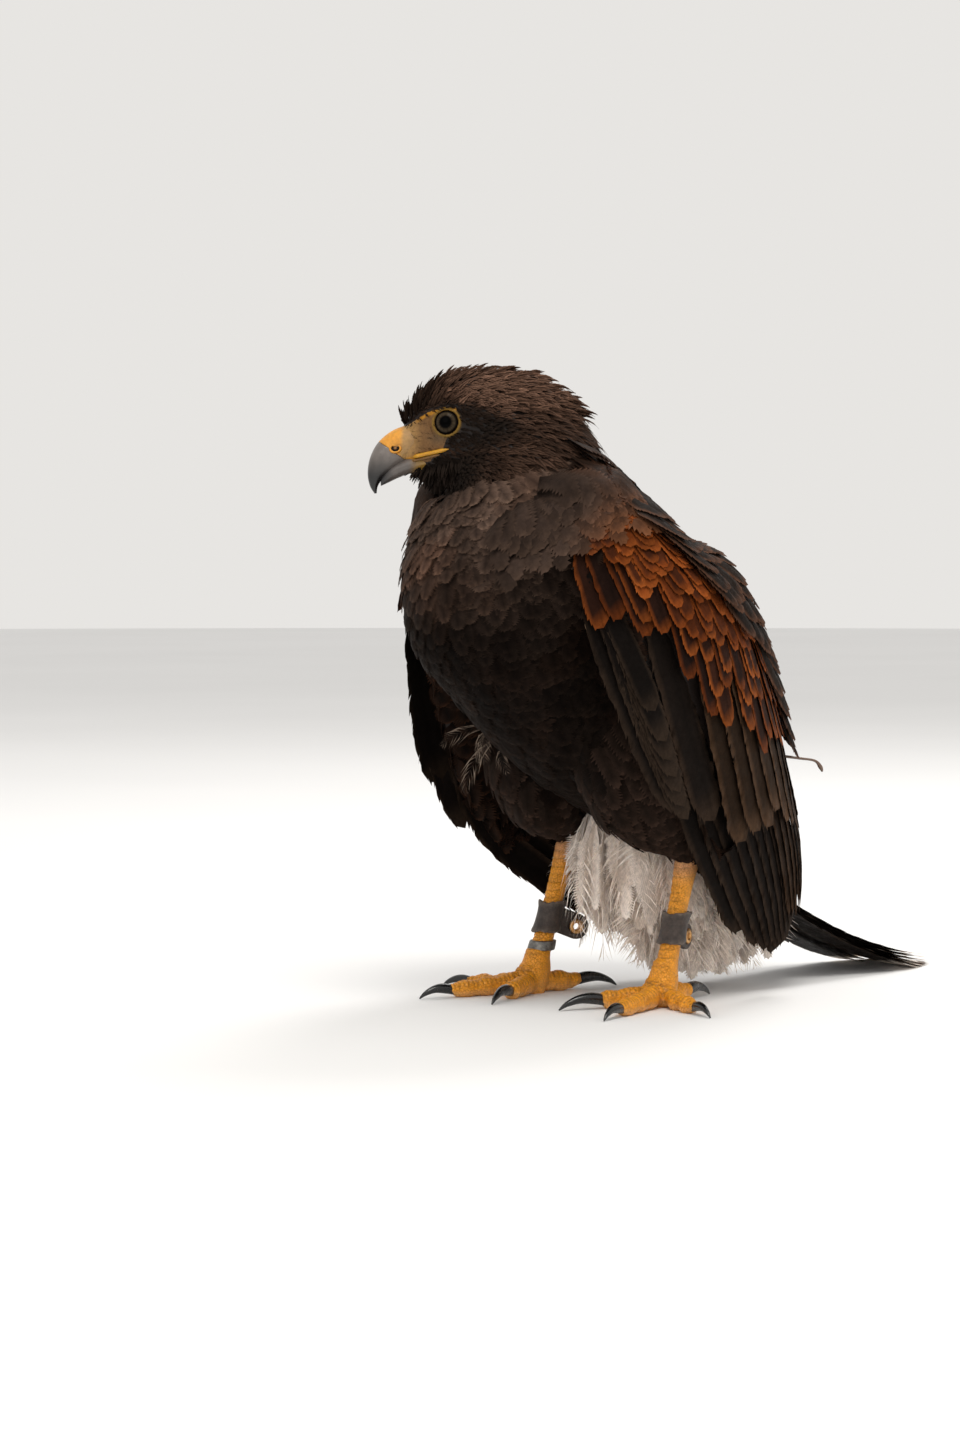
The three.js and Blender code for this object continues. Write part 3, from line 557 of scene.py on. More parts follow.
def shade_smoothly(mesh):
    mesh.polygons.foreach_set("use_smooth", np.ones(len(mesh.polygons), bool))


def set_tint(mesh, tint):
    layer = mesh.color_attributes.get("Tint") or mesh.color_attributes.new("Tint", "FLOAT_COLOR", "POINT")
    colours = np.concatenate([np.clip(tint, 0, 1), np.ones((len(tint), 1))], 1)
    layer.data.foreach_set("color", colours.astype(np.float32).ravel())


def new_object(name, mesh, material, nodes=()):
    piece = bpy.data.objects.new(name, mesh)
    bpy.context.scene.collection.objects.link(piece)
    mesh.materials.clear()
    mesh.materials.append(material)
    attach(piece, "root")
    if nodes:
        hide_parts(*nodes)
    return piece


def new_solid(name, rings, tint, material, nodes):
    """An object of a closed form through rings, in one colour or in a colour for each point."""
    points, quads, ends = closed(rings)
    if np.ndim(tint) == 1:
        tint = repeated(tint, len(points))
    new_object(name, new_mesh(name, points, [quads, ends], tint), material, nodes)


def made_finer(piece):
    finer = piece.modifiers.new("finer", "SUBSURF")
    finer.levels = finer.render_levels = 1


def evaluated_mesh(piece):
    depsgraph = bpy.context.evaluated_depsgraph_get()
    return bpy.data.meshes.new_from_object(piece.evaluated_get(depsgraph), depsgraph=depsgraph)


def remeshed(name, forms, voxel, rounds):
    """One closed skin round several forms: a voxel remesh, then smoothing."""
    points, quads, ends = [], [], []
    start = 0
    for rings in forms:
        p, q, e = closed(rings)
        points.append(p)
        quads.append(q + start)
        ends.append(e + start)
        start += len(p)
    mesh = new_mesh(name, np.concatenate(points), [np.concatenate(quads), np.concatenate(ends)])
    draft = bpy.data.objects.new(name + "_draft", mesh)
    bpy.context.scene.collection.objects.link(draft)
    remesh = draft.modifiers.new("remesh", "REMESH")
    remesh.mode = "VOXEL"
    remesh.voxel_size = voxel / 1000
    even = draft.modifiers.new("even", "SMOOTH")
    even.factor = 0.5
    even.iterations = rounds
    result = evaluated_mesh(draft)
    bpy.data.objects.remove(draft)
    bpy.data.meshes.remove(mesh)
    result.name = name
    return result


def read_out(items, field, width, kind=np.float32):
    """One field of all items as rows of numbers."""
    values = np.empty(len(items) * width, kind)
    items.foreach_get(field, values)
    return values.reshape(-1, width)


def mesh_points(mesh):
    return millimetres(read_out(mesh.vertices, "co", 3).astype(float))


def mesh_normals(mesh):
    return read_out(mesh.vertices, "normal", 3).astype(float)


def set_points(mesh, points):
    mesh.vertices.foreach_set("co", metres(points).astype(np.float32).ravel())
    mesh.update()


# Materials


class Shader:
    """A material under construction, with short names for the nodes that are used here."""

    def __init__(self, name, **sockets):
        self.material = bpy.data.materials.new(name)
        self.material.use_nodes = True
        self.tree = self.material.node_tree
        self.bsdf = self.tree.nodes["Principled BSDF"]
        for socket, value in sockets.items():
            self.bsdf.inputs[socket.replace("_", " ")].default_value = value

    def node(self, kind, **settings):
        made = self.tree.nodes.new(kind)
        for key, value in settings.items():
            setattr(made, key, value)
        return made

    def link(self, a, b):
        self.tree.links.new(a, b)

    def tint(self):
        return self.node("ShaderNodeAttribute", attribute_name="Tint").outputs["Color"]

    def coordinates(self):
        return self.node("ShaderNodeTexCoord").outputs["Object"]

    def noise(self, scale, detail, roughness=0.6):
        made = self.node("ShaderNodeTexNoise")
        made.inputs["Scale"].default_value = scale
        made.inputs["Detail"].default_value = detail
        made.inputs["Roughness"].default_value = roughness
        self.link(self.coordinates(), made.inputs["Vector"])
        return made.outputs["Fac"]

    def cells(self, scale):
        made = self.node("ShaderNodeTexVoronoi", feature="DISTANCE_TO_EDGE")
        made.inputs["Scale"].default_value = scale
        self.link(self.coordinates(), made.inputs["Vector"])
        return made.outputs["Distance"]

    def spread(self, value, low, high, to_low, to_high):
        made = self.node("ShaderNodeMapRange")
        for socket, number in zip(("From Min", "From Max", "To Min", "To Max"), (low, high, to_low, to_high)):
            made.inputs[socket].default_value = number
        self.link(value, made.inputs["Value"])
        return made.outputs["Result"]

    def maths(self, operation, *values):
        made = self.node("ShaderNodeMath", operation=operation)
        for socket, value in zip(made.inputs, values):
            if isinstance(value, (int, float)):
                socket.default_value = value
            else:
                self.link(value, socket)
        return made.outputs[0]

    def scaled(self, colour, share):
        """A colour made lighter or darker by a number that varies over the surface."""
        made = self.node("ShaderNodeVectorMath", operation="SCALE")
        self.link(colour, made.inputs[0])
        self.link(share, made.inputs["Scale"])
        return made.outputs["Vector"]

    def blended(self, a, b, share):
        made = self.node("ShaderNodeMix", data_type="RGBA")
        for socket, value in ((made.inputs[6], a), (made.inputs[7], b)):
            if hasattr(value, "is_linked"):
                self.link(value, socket)
            else:
                socket.default_value = (*value, 1)
        self.link(share, made.inputs[0])
        return made.outputs[2]

    def bump(self, *layers):
        """Each layer is a height, a strength and a distance in metres."""
        normal = None
        for height, strength, distance in layers:
            made = self.node("ShaderNodeBump")
            made.inputs["Strength"].default_value = strength
            made.inputs["Distance"].default_value = distance
            self.link(height, made.inputs["Height"])
            if normal:
                self.link(normal, made.inputs["Normal"])
            normal = made.outputs["Normal"]
        self.link(normal, self.bsdf.inputs["Normal"])

    def colour(self, output):
        self.link(output, self.bsdf.inputs["Base Color"])

    def tinted(self, shade):
        """The mesh's own colour, made lighter or darker by a shade."""
        self.colour(self.scaled(self.tint(), shade))

    def varied(self, scale, detail, low, high):
        """A noise that runs from low to high."""
        return self.spread(self.noise(scale, detail), 0.3, 0.7, low, high)

    def rough(self, scale, detail, low, high):
        self.link(self.varied(scale, detail, low, high), self.bsdf.inputs["Roughness"])


def feather_material(name, roughness, sheen, lines, glow=0.0):
    s = Shader(name, Sheen_Weight=sheen, Sheen_Roughness=0.45, Specular_IOR_Level=0.05, IOR=1.25)
    s.bsdf.inputs["Sheen Tint"].default_value = (0.75, 0.62, 0.52, 1)
    place_on_vane = s.node("ShaderNodeUVMap", uv_map="Vane").outputs["UV"]
    parts = s.node("ShaderNodeSeparateXYZ")
    s.link(place_on_vane, parts.inputs[0])
    across = s.maths("ABSOLUTE", s.maths("SUBTRACT", parts.outputs[0], 0.5))
    along = s.maths("SUBTRACT", parts.outputs[1], s.maths("MULTIPLY", across, 0.7))
    barbs = s.maths("SINE", s.maths("MULTIPLY", along, lines * 6.283))
    lines_shade = s.spread(barbs, -1, 1, 0.86, 1.1)
    shade = s.maths("MULTIPLY", lines_shade, s.varied(420, 2, 0.84, 1.16))
    s.tinted(shade)
    s.rough(160, 2, roughness - 0.1, roughness + 0.12)
    s.bump((barbs, 0.25, 0.00018), (s.noise(900, 2), 0.2, 0.0002))
    if glow:
        s.bsdf.inputs["Subsurface Weight"].default_value = glow
        s.bsdf.inputs["Subsurface Radius"].default_value = (0.004, 0.003, 0.002)
    return s.material


def skin_material():
    s = Shader("bird_skin", Specular_IOR_Level=0.22)
    s.tinted(s.varied(700, 4, 0.78, 1.2))
    s.rough(300, 2, 0.42, 0.62)
    s.bump((s.cells(900), 0.35, 0.0003), (s.noise(1500, 3), 0.3, 0.0002))
    return s.material


def waxy_material():
    s = Shader("waxy_skin", Specular_IOR_Level=0.5, Subsurface_Weight=0.12, Subsurface_Scale=0.002)
    s.bsdf.inputs["Subsurface Radius"].default_value = (1.0, 0.5, 0.2)
    s.tinted(s.varied(500, 4, 0.84, 1.14))
    s.rough(260, 2, 0.34, 0.52)
    s.bump((s.noise(420, 3), 0.25, 0.0004), (s.cells(1300), 0.2, 0.00015))
    return s.material


def leg_material():
    s = Shader("scaly_skin", Specular_IOR_Level=0.5, Subsurface_Weight=0.08, Subsurface_Scale=0.002)
    s.bsdf.inputs["Subsurface Radius"].default_value = (1.0, 0.5, 0.2)
    cells = s.cells(640)
    creases = s.spread(cells, 0.0, 0.09, 0.0, 1.0)
    # Painted shade in the creases between the scales
    dark_creases = s.spread(creases, 0, 1, 0.72, 1.0)
    shade = s.maths("MULTIPLY", dark_creases, s.varied(260, 4, 0.8, 1.15))
    s.tinted(shade)
    s.rough(300, 2, 0.36, 0.58)
    s.bump((creases, 0.8, 0.0004), (s.noise(1400, 3), 0.3, 0.0001))
    return s.material


def horn_material(name, roughness, coat):
    s = Shader(name, Specular_IOR_Level=0.5, Coat_Weight=coat, Coat_Roughness=0.12)
    s.tinted(s.varied(300, 4, 0.86, 1.14))
    s.rough(200, 3, roughness - 0.07, roughness + 0.1)
    s.bump((s.noise(500, 4), 0.12, 0.0003))
    return s.material


def eye_material():
    s = Shader("wet_eye", Roughness=0.04, Specular_IOR_Level=0.03)
    s.tinted(s.varied(2200, 3, 0.75, 1.25))
    return s.material


def leather_material():
    s = Shader("worn_leather", Specular_IOR_Level=0.45, Sheen_Weight=0.1)
    worn = s.spread(s.noise(220, 5, 0.7), 0.42, 0.62, 0.0, 1.0)
    s.tinted(s.spread(worn, 0, 1, 0.4, 0.85))
    s.rough(180, 3, 0.45, 0.72)
    s.bump((s.cells(1100), 0.35, 0.0003), (s.noise(500, 5), 0.5, 0.0005))
    return s.material


def metal_material(name, low, high, roughness):
    s = Shader(name, Metallic=1.0)
    stain = s.spread(s.noise(350, 5, 0.7), 0.35, 0.65, 0.0, 1.0)
    s.colour(s.blended(low, high, stain))
    s.rough(500, 3, roughness - 0.1, roughness + 0.15)
    s.bump((s.noise(900, 4), 0.2, 0.0002))
    return s.material


FEATHER = feather_material("body_feathers", 0.62, 0.02, 26)
FLIGHT = feather_material("flight_feathers", 0.52, 0.015, 60)
DOWN = feather_material("white_down", 0.8, 0.15, 20, 0.15)
BIRD_SKIN = skin_material()
WAXY = waxy_material()
SCALY = leg_material()
BILL_HORN = horn_material("bill_horn", 0.34, 0.2)
CLAW_HORN = horn_material("claw_horn", 0.26, 0.25)
WET_EYE = eye_material()
LEATHER = leather_material()
RING_METAL = metal_material("dull_ring", (0.10, 0.095, 0.09), (0.27, 0.26, 0.24), 0.45)
BRASS = metal_material("worn_brass", (0.42, 0.2, 0.07), (0.75, 0.45, 0.18), 0.35)

# Colours of plumage, skin and legs
BREAST = paint("2f2520")
BREAST_EDGE = paint("47382f")
NECK = paint("43342c")
NECK_EDGE = paint("6e5849")
HEAD_DARK = paint("1c140f")
HEAD_EDGE = paint("674d3f")
FACE_BLACK = paint("17120f")
BACK = paint("1f1814")
BACK_EDGE = paint("5e4030")
THIGH = paint("1b1410")
THIGH_EDGE = paint("382a23")
RUFOUS = paint("7a3a14")
RUFOUS_LIGHT = paint("a65b29")
COVERT_DARK = paint("1d1310")
BROWN = paint("2a1e15")
BROWN_EDGE = paint("5e4634")
BLACK = paint("14100e")
BLACK_EDGE = paint("32271f")
WHITE = paint("f8ece1")
WHITE_ROOT = paint("dccdc2")
BUFF = paint("a98c72")
SKIN_DARK = paint("1c1512")
SKIN_WHITE = paint("a8948a")
LORES = paint("6c4d2c")
ORANGE = paint("d2902c")
BROW = paint("ae7618")
LEG_YELLOW = paint("eb9a1e")
LEG_PALE = paint("efb470")


# Feather shapes: points across and along a flat feather, and its triangles


class Vane:
    def __init__(self, barbs, width, inner=0, notch=0.16, sweep=0.15, rim=0.5):
        v = np.linspace(0, 0.965, barbs + 1)
        a = v + sweep * (1 - v)
        points, faces = [], []

        def add(u, at):
            points.append((u, at))
            return len(points) - 1

        shaft = [add(0, at) for at in v]
        end = add(0, 1)
        for side in (-1, 1):
            edge = [add(side * width(at) * (1 - notch), at) for at in a]
            columns = [shaft]
            for c in range(inner):
                share = (c + 1) / (inner + 1)
                columns.append([add(side * width(at) * (1 - notch) * share, mix(b, at, share))
                                for b, at in zip(v, a)])
            columns.append(edge)
            for i in range(barbs):
                b = mix(a[i], a[i + 1], 0.8)
                tip = add(side * width(b), min(b + 0.02, 0.995))
                for near, far in zip(columns, columns[1:]):
                    faces.append(self.turned(side, near[i], far[i], far[i + 1]))
                    faces.append(self.turned(side, near[i], far[i + 1], near[i + 1]))
                faces.append(self.turned(side, edge[i], tip, edge[i + 1]))
            for near, far in zip(columns, columns[1:]):
                faces.append(self.turned(side, near[barbs], far[barbs], end))
        points = np.array(points)
        self.u, self.v = points[:, 0], points[:, 1]
        self.faces = np.array(faces)
        share = np.abs(self.u) / np.maximum(np.array([width(at) for at in self.v]), 0.05)
        self.rim = np.maximum(smooth(rim, 0.9, share), smooth(0.84, 0.98, self.v))
        self.shaft = (self.u == 0).astype(float)

    @staticmethod
    def turned(side, a, b, c):
        return (a, b, c) if side > 0 else (a, c, b)


class Plume(Vane):
    """A loose feather: thin bent barbs on a shaft, with nothing between them."""

    def __init__(self, barbs, width, slant=0.3, thick=0.42):
        points, faces = [], []

        def add(u, at):
            points.append((u, min(at, 1.0)))
            return len(points) - 1

        step = 0.97 / barbs
        shaft = [(add(-0.012, i * step), add(0.012, i * step)) for i in range(barbs + 1)]
        end = add(0, 1)
        for (a, b), (c, d) in zip(shaft, shaft[1:]):
            faces += [(a, b, d), (a, d, c)]
        faces.append((*shaft[-1], end))
        for i in range(barbs):
            at = i * step
            reach = width(at)
            ahead = slant * (1 - 0.6 * at)
            for side in (-1, 1):
                root = shaft[i][1 if side > 0 else 0]
                near = add(side * 0.012, at + thick * step)
                low = add(side * 0.55 * reach, at + 0.34 * ahead)
                high = add(side * 0.52 * reach, at + 0.34 * ahead + 0.75 * thick * step)
                tip = add(side * reach, at + ahead)
                faces += [self.turned(side, root, low, high), self.turned(side, root, high, near),
                          self.turned(side, low, tip, high)]
        points = np.array(points)
        self.u, self.v = points[:, 0], points[:, 1]
        self.faces = np.array(faces)
        self.rim = (np.abs(self.u) > 0.02).astype(float)
        self.shaft = 1 - self.rim


def round_feather(v):
    return min(1, 0.35 + 2.0 * v) * math.sqrt(max(0.0, 1 - max(0, (v - 0.45) / 0.55) ** 2.4)) + 0.02


def long_feather(v):
    return min(1, 0.5 + 1.6 * v) * math.sqrt(max(0.0, 1 - max(0, (v - 0.68) / 0.32) ** 2.6)) + 0.02


def pointed_feather(v):
    return min(1, 0.4 + 2.4 * v) * max(0.0, 1 - max(0, (v - 0.3) / 0.7) ** 1.5) + 0.02


def flight_feather(v):
    return min(1, 0.5 + 2.0 * v) * math.sqrt(max(0.0, 1 - max(0, (v - 0.8) / 0.2) ** 2.2)) + 0.02


def plume_feather(v):
    return min(1, 0.3 + 2.2 * v) * max(0.0, 1 - max(0, (v - 0.2) / 0.8) ** 2.2) + 0.02


SOFT = Vane(13, round_feather, notch=0.34, sweep=0.2)
HAIRY = Vane(18, round_feather, notch=0.34, sweep=0.35)
FLUFF = Vane(26, long_feather, notch=0.4, sweep=0.4)
POINTED = Vane(11, pointed_feather, notch=0.16, sweep=0.3)
TINY = Vane(4, pointed_feather, notch=0.22, sweep=0.3)
COVERT = Vane(16, long_feather, inner=2, notch=0.05, sweep=0.1, rim=0.62)
MANTLE = Vane(14, round_feather, inner=2, notch=0.08, sweep=0.12, rim=0.7)
FLIGHT_VANE = Vane(34, flight_feather, inner=2, notch=0.05, sweep=0.05, rim=0.62)
PLUME = Plume(42, plume_feather, 0.4, 0.2)
WISP = Plume(12, plume_feather, 0.45, 0.07)
BRISTLE = Vane(3, pointed_feather, notch=0.5, sweep=0.2)


class Coat:
    """Feathers of many batches, made into meshes of no more than the allowed number of triangles."""

    def __init__(self, name, material, nodes, slot):
        self.name, self.material, self.nodes, self.slot = name, material, nodes, slot
        self.batches = []

    def add(self, vane, centre, side, normal, half, tint, bake, camber=0.25, ragged=0.06, ridge=0.0):
        """centre, side and normal are one for each feather and each point of its vane."""
        n, count = centre.shape[:2]
        half = np.asarray(half, float).reshape(-1, 1) * np.ones((n, 1))
        u = vane.u[None, :] * (1 + ragged * chance.standard_normal((n, count)) * (vane.rim[None, :] > 0.5))
        across = (u * half)[..., None]
        lift = -camber * half * vane.u[None, :] ** 2
        lift = lift + ridge * vane.shaft[None, :] * (1 - 0.7 * vane.v[None, :])
        wobble = 0.012 * half * chance.standard_normal((n, count))
        points = centre + side * across + normal * (lift + wobble)[..., None]
        local = np.stack([vane.u * 0.5, vane.v - 0.5], -1)[None] * PATCH
        maps = np.stack([np.tile(vane.u * 0.5 + 0.5, (n, 1)), np.tile(vane.v, (n, 1))], -1)
        self.batches.append((vane, points, tint, maps, bake[:, None, :] + local))

    def make(self):
        pieces = []
        share, total = [], 0
        for batch in self.batches:
            vane, points = batch[0], batch[1]
            each = len(vane.faces)
            start = 0
            while start < len(points):
                room = (MOST_TRIANGLES - total) // each
                if room < 1:
                    pieces.append(share)
                    share, total = [], 0
                    continue
                stop = min(len(points), start + room)
                share.append((vane, *[part[start:stop] for part in batch[1:]]))
                total += (stop - start) * each
                start = stop
        if share:
            pieces.append(share)
        for number, share in enumerate(pieces):
            points, faces, tint, maps, bake = [], [], [], [], []
            first = 0
            for vane, p, t, m, b in share:
                n, count = p.shape[:2]
                offsets = first + np.arange(n)[:, None, None] * count
                faces.append((vane.faces[None] + offsets).reshape(-1, 3))
                p = p.reshape(-1, 3)
                p[:, 2] = np.maximum(p[:, 2], 0.3 + 0.5 * chance.random(len(p)))
                points.append(p)
                tint.append(t.reshape(-1, 3))
                maps.append(m.reshape(-1, 2))
                bake.append(b.reshape(-1, 2))
                first += n * count
            name = self.name if len(pieces) == 1 else f"{self.name}_{number + 1}"
            mesh = new_mesh(name, np.concatenate(points), [np.concatenate(faces)], np.concatenate(tint),
                            {"OFBake": np.concatenate(bake), "Vane": np.concatenate(maps)})
            mesh.uv_layers["OFBake"].active_render = True
            new_object(name, mesh, self.material, self.nodes)
            print(name, len(mesh.polygons), "triangles")


def feather_tint(vane, base, edge, edge_share=1.0, root=0.6, grain=0.07, each=0.1):
    """Colours of each point of each feather: darker at the root, partly the down's own grey and partly
    painted shade under the feathers above, with the edge's colour along the rim.
    """
    n = len(base)
    rim = (vane.rim[None, :] * np.asarray(edge_share, float).reshape(-1, 1) * np.ones((n, 1)))[..., None]
    colour = mix(base[:, None, :], edge[:, None, :], rim)
    # Painted shade, with the down's own grey: each feather darker towards its covered root
    dark = mix(root, 1.0, smooth(0.0, 0.5, vane.v))[None, :, None]
    own = 1 + each * chance.standard_normal((n, 1, 1))
    fine = 1 + grain * chance.standard_normal((n, len(vane.u), 1))
    return colour * dark * np.clip(own, 0.5, 1.6) * np.clip(fine, 0.6, 1.5)


# The skin: one mesh for head, neck, body, thighs and the flesh of wings and tail


def mouth_line(forward):
    return steps(forward, [26, 43, 49, 61.5], [-15.6, -19.2, -21, -30])


def gaze(side):
    return unit(head_direction(0.3, side, 0.06))


def eye_centre(side):
    return head_point(EYE["forward"], side * EYE["aside"], EYE["up"])


def round_eye(points, side):
    """Height along the gaze and distance from it, measured from the eye's centre."""
    away = points - eye_centre(side)
    height = away @ gaze(side)
    across = np.linalg.norm(away - height[..., None] * gaze(side), axis=-1)
    return height, across


# The line over the eye where feathers start: forward and up in the head's frame
BROW_LINE = ([12, 18, 22, 26, 30.5, 34, 37, 40.3, 43.5, 48, 52, 56],
             [2.5, 5, 6, 6, 5.5, 4.8, 3.7, 1.8, -0.3, -3.2, -4.6, -6.4])


def brow_up(forward):
    return steps(forward, *BROW_LINE)


def bare_face(points, margin=0.0):
    """True where the face has no feathers: round the eye, the lores and the root of the cere."""
    forward, aside, up = head_place(points)
    side = np.where(aside > 0, 1, -1)
    height, across = np.where(side > 0, round_eye(points, 1), round_eye(points, -1))
    ring = (across < 7.7 - margin) & (height > 0)
    back = steps(up, [-20, -14, -9, -5, 0, 3, 8], [35, 29, 27.5, 26, 24, 22.5, 23])
    within = (up < brow_up(forward) - margin) & (up > mouth_line(forward) - 3.4 + margin)
    lores = (forward > back + margin) & within
    return ring | lores | (forward > 49.5 - margin)


def skin_forms():
    face = lambda forward: -mix(DEPTH["head"], DEPTH["face"], smooth(12, 30, forward))
    forms = {"body": body_form(-DEPTH["body"]), "head": head_form(face)}
    for name in SIDES:
        forms[f"thigh_{name}"] = limb(thigh_rows(name), 30, 36, -DEPTH["thigh"])
        forms[f"wing_{name}"] = wing_flesh(name, -DEPTH["wing"])
    forms["tail"] = tail_root(-DEPTH["tail"])
    forms["vent"] = vent_form(-DEPTH["vent"])
    return forms


def shape_face(points, normals):
    """Brow shelves, lids and the hollow before the eye."""
    forward, aside, up = head_place(points)
    moved = points.copy()
    for side in (1, -1):
        near = (aside * side > 2) & (forward > 5)
        brow = hill(up - brow_up(forward), 0.2, 2.3)
        brow = brow * smooth(8, 16, forward) * (1 - smooth(38, 48, forward))
        hollow = np.exp(-(((forward - 37) / 5) ** 2 + ((up + 4) / 5) ** 2))
        push = (1.7 * brow - 1.0 * hollow) * near
        moved = moved + normals * push[:, None]
        height, across = round_eye(moved, side)
        ball = np.sqrt(np.maximum(EYE["radius"] ** 2 - np.minimum(across, 8.3) ** 2, 0))
        rim = math.sqrt(EYE["radius"] ** 2 - 6.1 ** 2)
        lid = rim - 0.3 + 1.05 * hill(across, 6.95, 0.75) + 0.25 * hill(across, 8.6, 0.5)
        wanted = np.where(across < 6.15, ball - 1.0, lid)
        weight = (1 - smooth(7.4, 10.2, across)) * (height > 1) * near
        moved = moved + gaze(side) * ((wanted - height) * weight)[:, None]
    return moved


def face_tan(forward):
    """The bare skin before the eye, paler towards the bill."""
    share = np.atleast_1d(smooth(38, 50, forward))[:, None] * 0.85
    return mix(LORES, paint("b08a54"), share)


def skin_tint(points, label):
    forward, _, up = head_place(points)
    colour = repeated(SKIN_DARK, len(points))
    colour[label == "vent"] = SKIN_WHITE
    fade = lambda mask: np.clip(mask, 0, 1)[:, None]
    on_face = (label == "head") & bare_face(points)
    lores = face_tan(forward)
    ridge = smooth(-2.6, -1.2, up - brow_up(forward)) * smooth(44, 40, forward) * smooth(19, 22, forward)
    near_mouth = hill(up - mouth_line(forward), 0.2, 1.3)
    lores = mix(lores, BROW, fade(np.maximum(ridge, near_mouth) * 0.92))
    dull = np.exp(-(((forward - 31) / 5) ** 2 + ((up + 9) / 3.2) ** 2))
    lores = mix(lores, paint("5d4a34"), fade(0.75 * dull))
    colour[on_face] = lores[on_face]
    for side in (1, -1):
        height, across = round_eye(points, side)
        ring = hill(across, 7.0, 0.75) * (height > 0)
        inside = (1 - smooth(5.9, 6.5, across)) * (height > 0)
        colour = mix(colour, paint("74581c"), fade(ring))
        colour = mix(colour, paint("0b0807"), fade(inside))
    return colour


def labels_of(points, forms):
    """Which form each point belongs to, and where along that form it is."""
    names = list(forms)
    tree = kdtree.KDTree(sum(r.shape[0] * r.shape[1] for r in forms.values()))
    notes = []
    for number, name in enumerate(names):
        rings = forms[name]
        count, sides = rings.shape[:2]
        for i in range(count):
            for j in range(sides):
                tree.insert(rings[i, j], len(notes))
                notes.append((number, i / (count - 1)))
    tree.balance()
    notes = np.array(notes)
    found = np.array([tree.find(p)[1] for p in points])
    hit = notes[found]
    return np.array(names)[hit[:, 0].astype(int)], hit[:, 1]


def make_skin():
    forms = skin_forms()
    mesh = remeshed("skin", forms.values(), VOXEL, 6)
    shape = bmesh.new()
    shape.from_mesh(mesh)
    for _ in range(2):
        centres = np.array([f.calc_center_median() for f in shape.faces])
        forward, aside, up = head_place(millimetres(centres))
        wanted = (forward > 13) & (up > -32) & (up < 22) & (np.hypot(aside, up) < 40)
        edges = {edge for face, yes in zip(shape.faces, wanted) if yes for edge in face.edges}
        bmesh.ops.subdivide_edges(shape, edges=list(edges), cuts=1, use_grid_fill=True, smooth=0.2)
    bmesh.ops.triangulate(shape, faces=[f for f in shape.faces if len(f.verts) > 4])
    shape.to_mesh(mesh)
    shape.free()
    mesh.update()
    points = shape_face(mesh_points(mesh), mesh_normals(mesh))
    set_points(mesh, points)
    label, _ = labels_of(points, forms)
    set_tint(mesh, skin_tint(points, label))
    shade_smoothly(mesh)
    nodes = ["head", "neck", "torso", "thigh_left", "thigh_right"]
    piece = new_object("skin", mesh, BIRD_SKIN, nodes)
    return piece, forms


def unwrap(piece):
    """Unwraps the skin, for the colours to be baked on, and gives one place in the map for each face."""
    mesh = piece.data
    mesh.uv_layers.new(name="OFBake")
    bpy.context.view_layer.objects.active = piece
    for other in bpy.context.selected_objects:
        other.select_set(False)
    piece.select_set(True)
    bpy.ops.object.mode_set(mode="EDIT")
    bpy.ops.mesh.select_all(action="SELECT")
    bpy.ops.uv.smart_project(angle_limit=math.radians(66), island_margin=0.002)
    bpy.ops.object.mode_set(mode="OBJECT")
    piece.select_set(False)
    starts = read_out(mesh.polygons, "loop_start", 1, np.int32)[:, 0]
    return read_out(mesh.uv_layers["OFBake"].data, "uv", 2)[starts]


skin, SKIN_FORMS = make_skin()
FACE_UV = unwrap(skin)
print("skin", len(skin.data.polygons), "faces")


class Surface:
    """The skin, searched for its nearest place."""

    def __init__(self, mesh):
        self.points = mesh_points(mesh)
        self.polygons = [tuple(p.vertices) for p in mesh.polygons]
        self.tree = BVHTree.FromPolygons([tuple(p) for p in self.points], self.polygons)

    def nearest(self, points):
        places, normals, faces = [], [], []
        for p in points:
            place_there, normal, face, _ = self.tree.find_nearest(Vector(p))
            places.append(place_there)
            normals.append(normal)
            faces.append(face)
        return np.array(places), np.array(normals), np.array(faces)


SURFACE = Surface(skin.data)


def scattered(count):
    """Random places on the skin, evenly spread: points, normals and face numbers."""
    mesh = skin.data
    normals = read_out(mesh.polygons, "normal", 3).astype(float)
    total = np.cumsum(read_out(mesh.polygons, "area", 1)[:, 0].astype(float))
    chosen = np.searchsorted(total, chance.random(count) * total[-1])
    corners = np.array([SURFACE.polygons[i][:3] for i in chosen])
    far = np.array([SURFACE.polygons[i][-1] for i in chosen])
    a, b, c = [SURFACE.points[corners[:, i]] for i in range(3)]
    d = SURFACE.points[far]
    r, s = chance.random((2, count, 1))
    quad = (1 - r) * ((1 - s) * a + s * b) + r * ((1 - s) * d + s * c)
    triangle = a + (b - a) * np.minimum(r, 1 - s) + (c - a) * np.minimum(s, 1 - r)
    is_quad = np.array([len(SURFACE.polygons[i]) == 4 for i in chosen])[:, None]
    return np.where(is_quad, quad, triangle), normals[chosen], chosen


def thinned(points, spacing):
    """Numbers of the points that stay when none may be nearer to another than its spacing."""
    cell = float(spacing.max())
    grid = {}
    kept = []
    keys = np.floor(points / cell).astype(int)
    around = list(itertools.product((-1, 0, 1), repeat=3))
    for i, (p, key, gap) in enumerate(zip(points.tolist(), keys.tolist(), spacing.tolist())):
        x, y, z = key
        limit = gap * gap
        near = (q for dx, dy, dz in around for q in grid.get((x + dx, y + dy, z + dz), ()))
        if all((p[0] - q[0]) ** 2 + (p[1] - q[1]) ** 2 + (p[2] - q[2]) ** 2 >= limit for q in near):
            grid.setdefault((x, y, z), []).append(p)
            kept.append(i)
    return np.array(kept, int)


def bake_spots(points):
    """Where the feathers that start at these points lie in the map that the colours are baked on."""
    return FACE_UV[SURFACE.nearest(points)[2]]


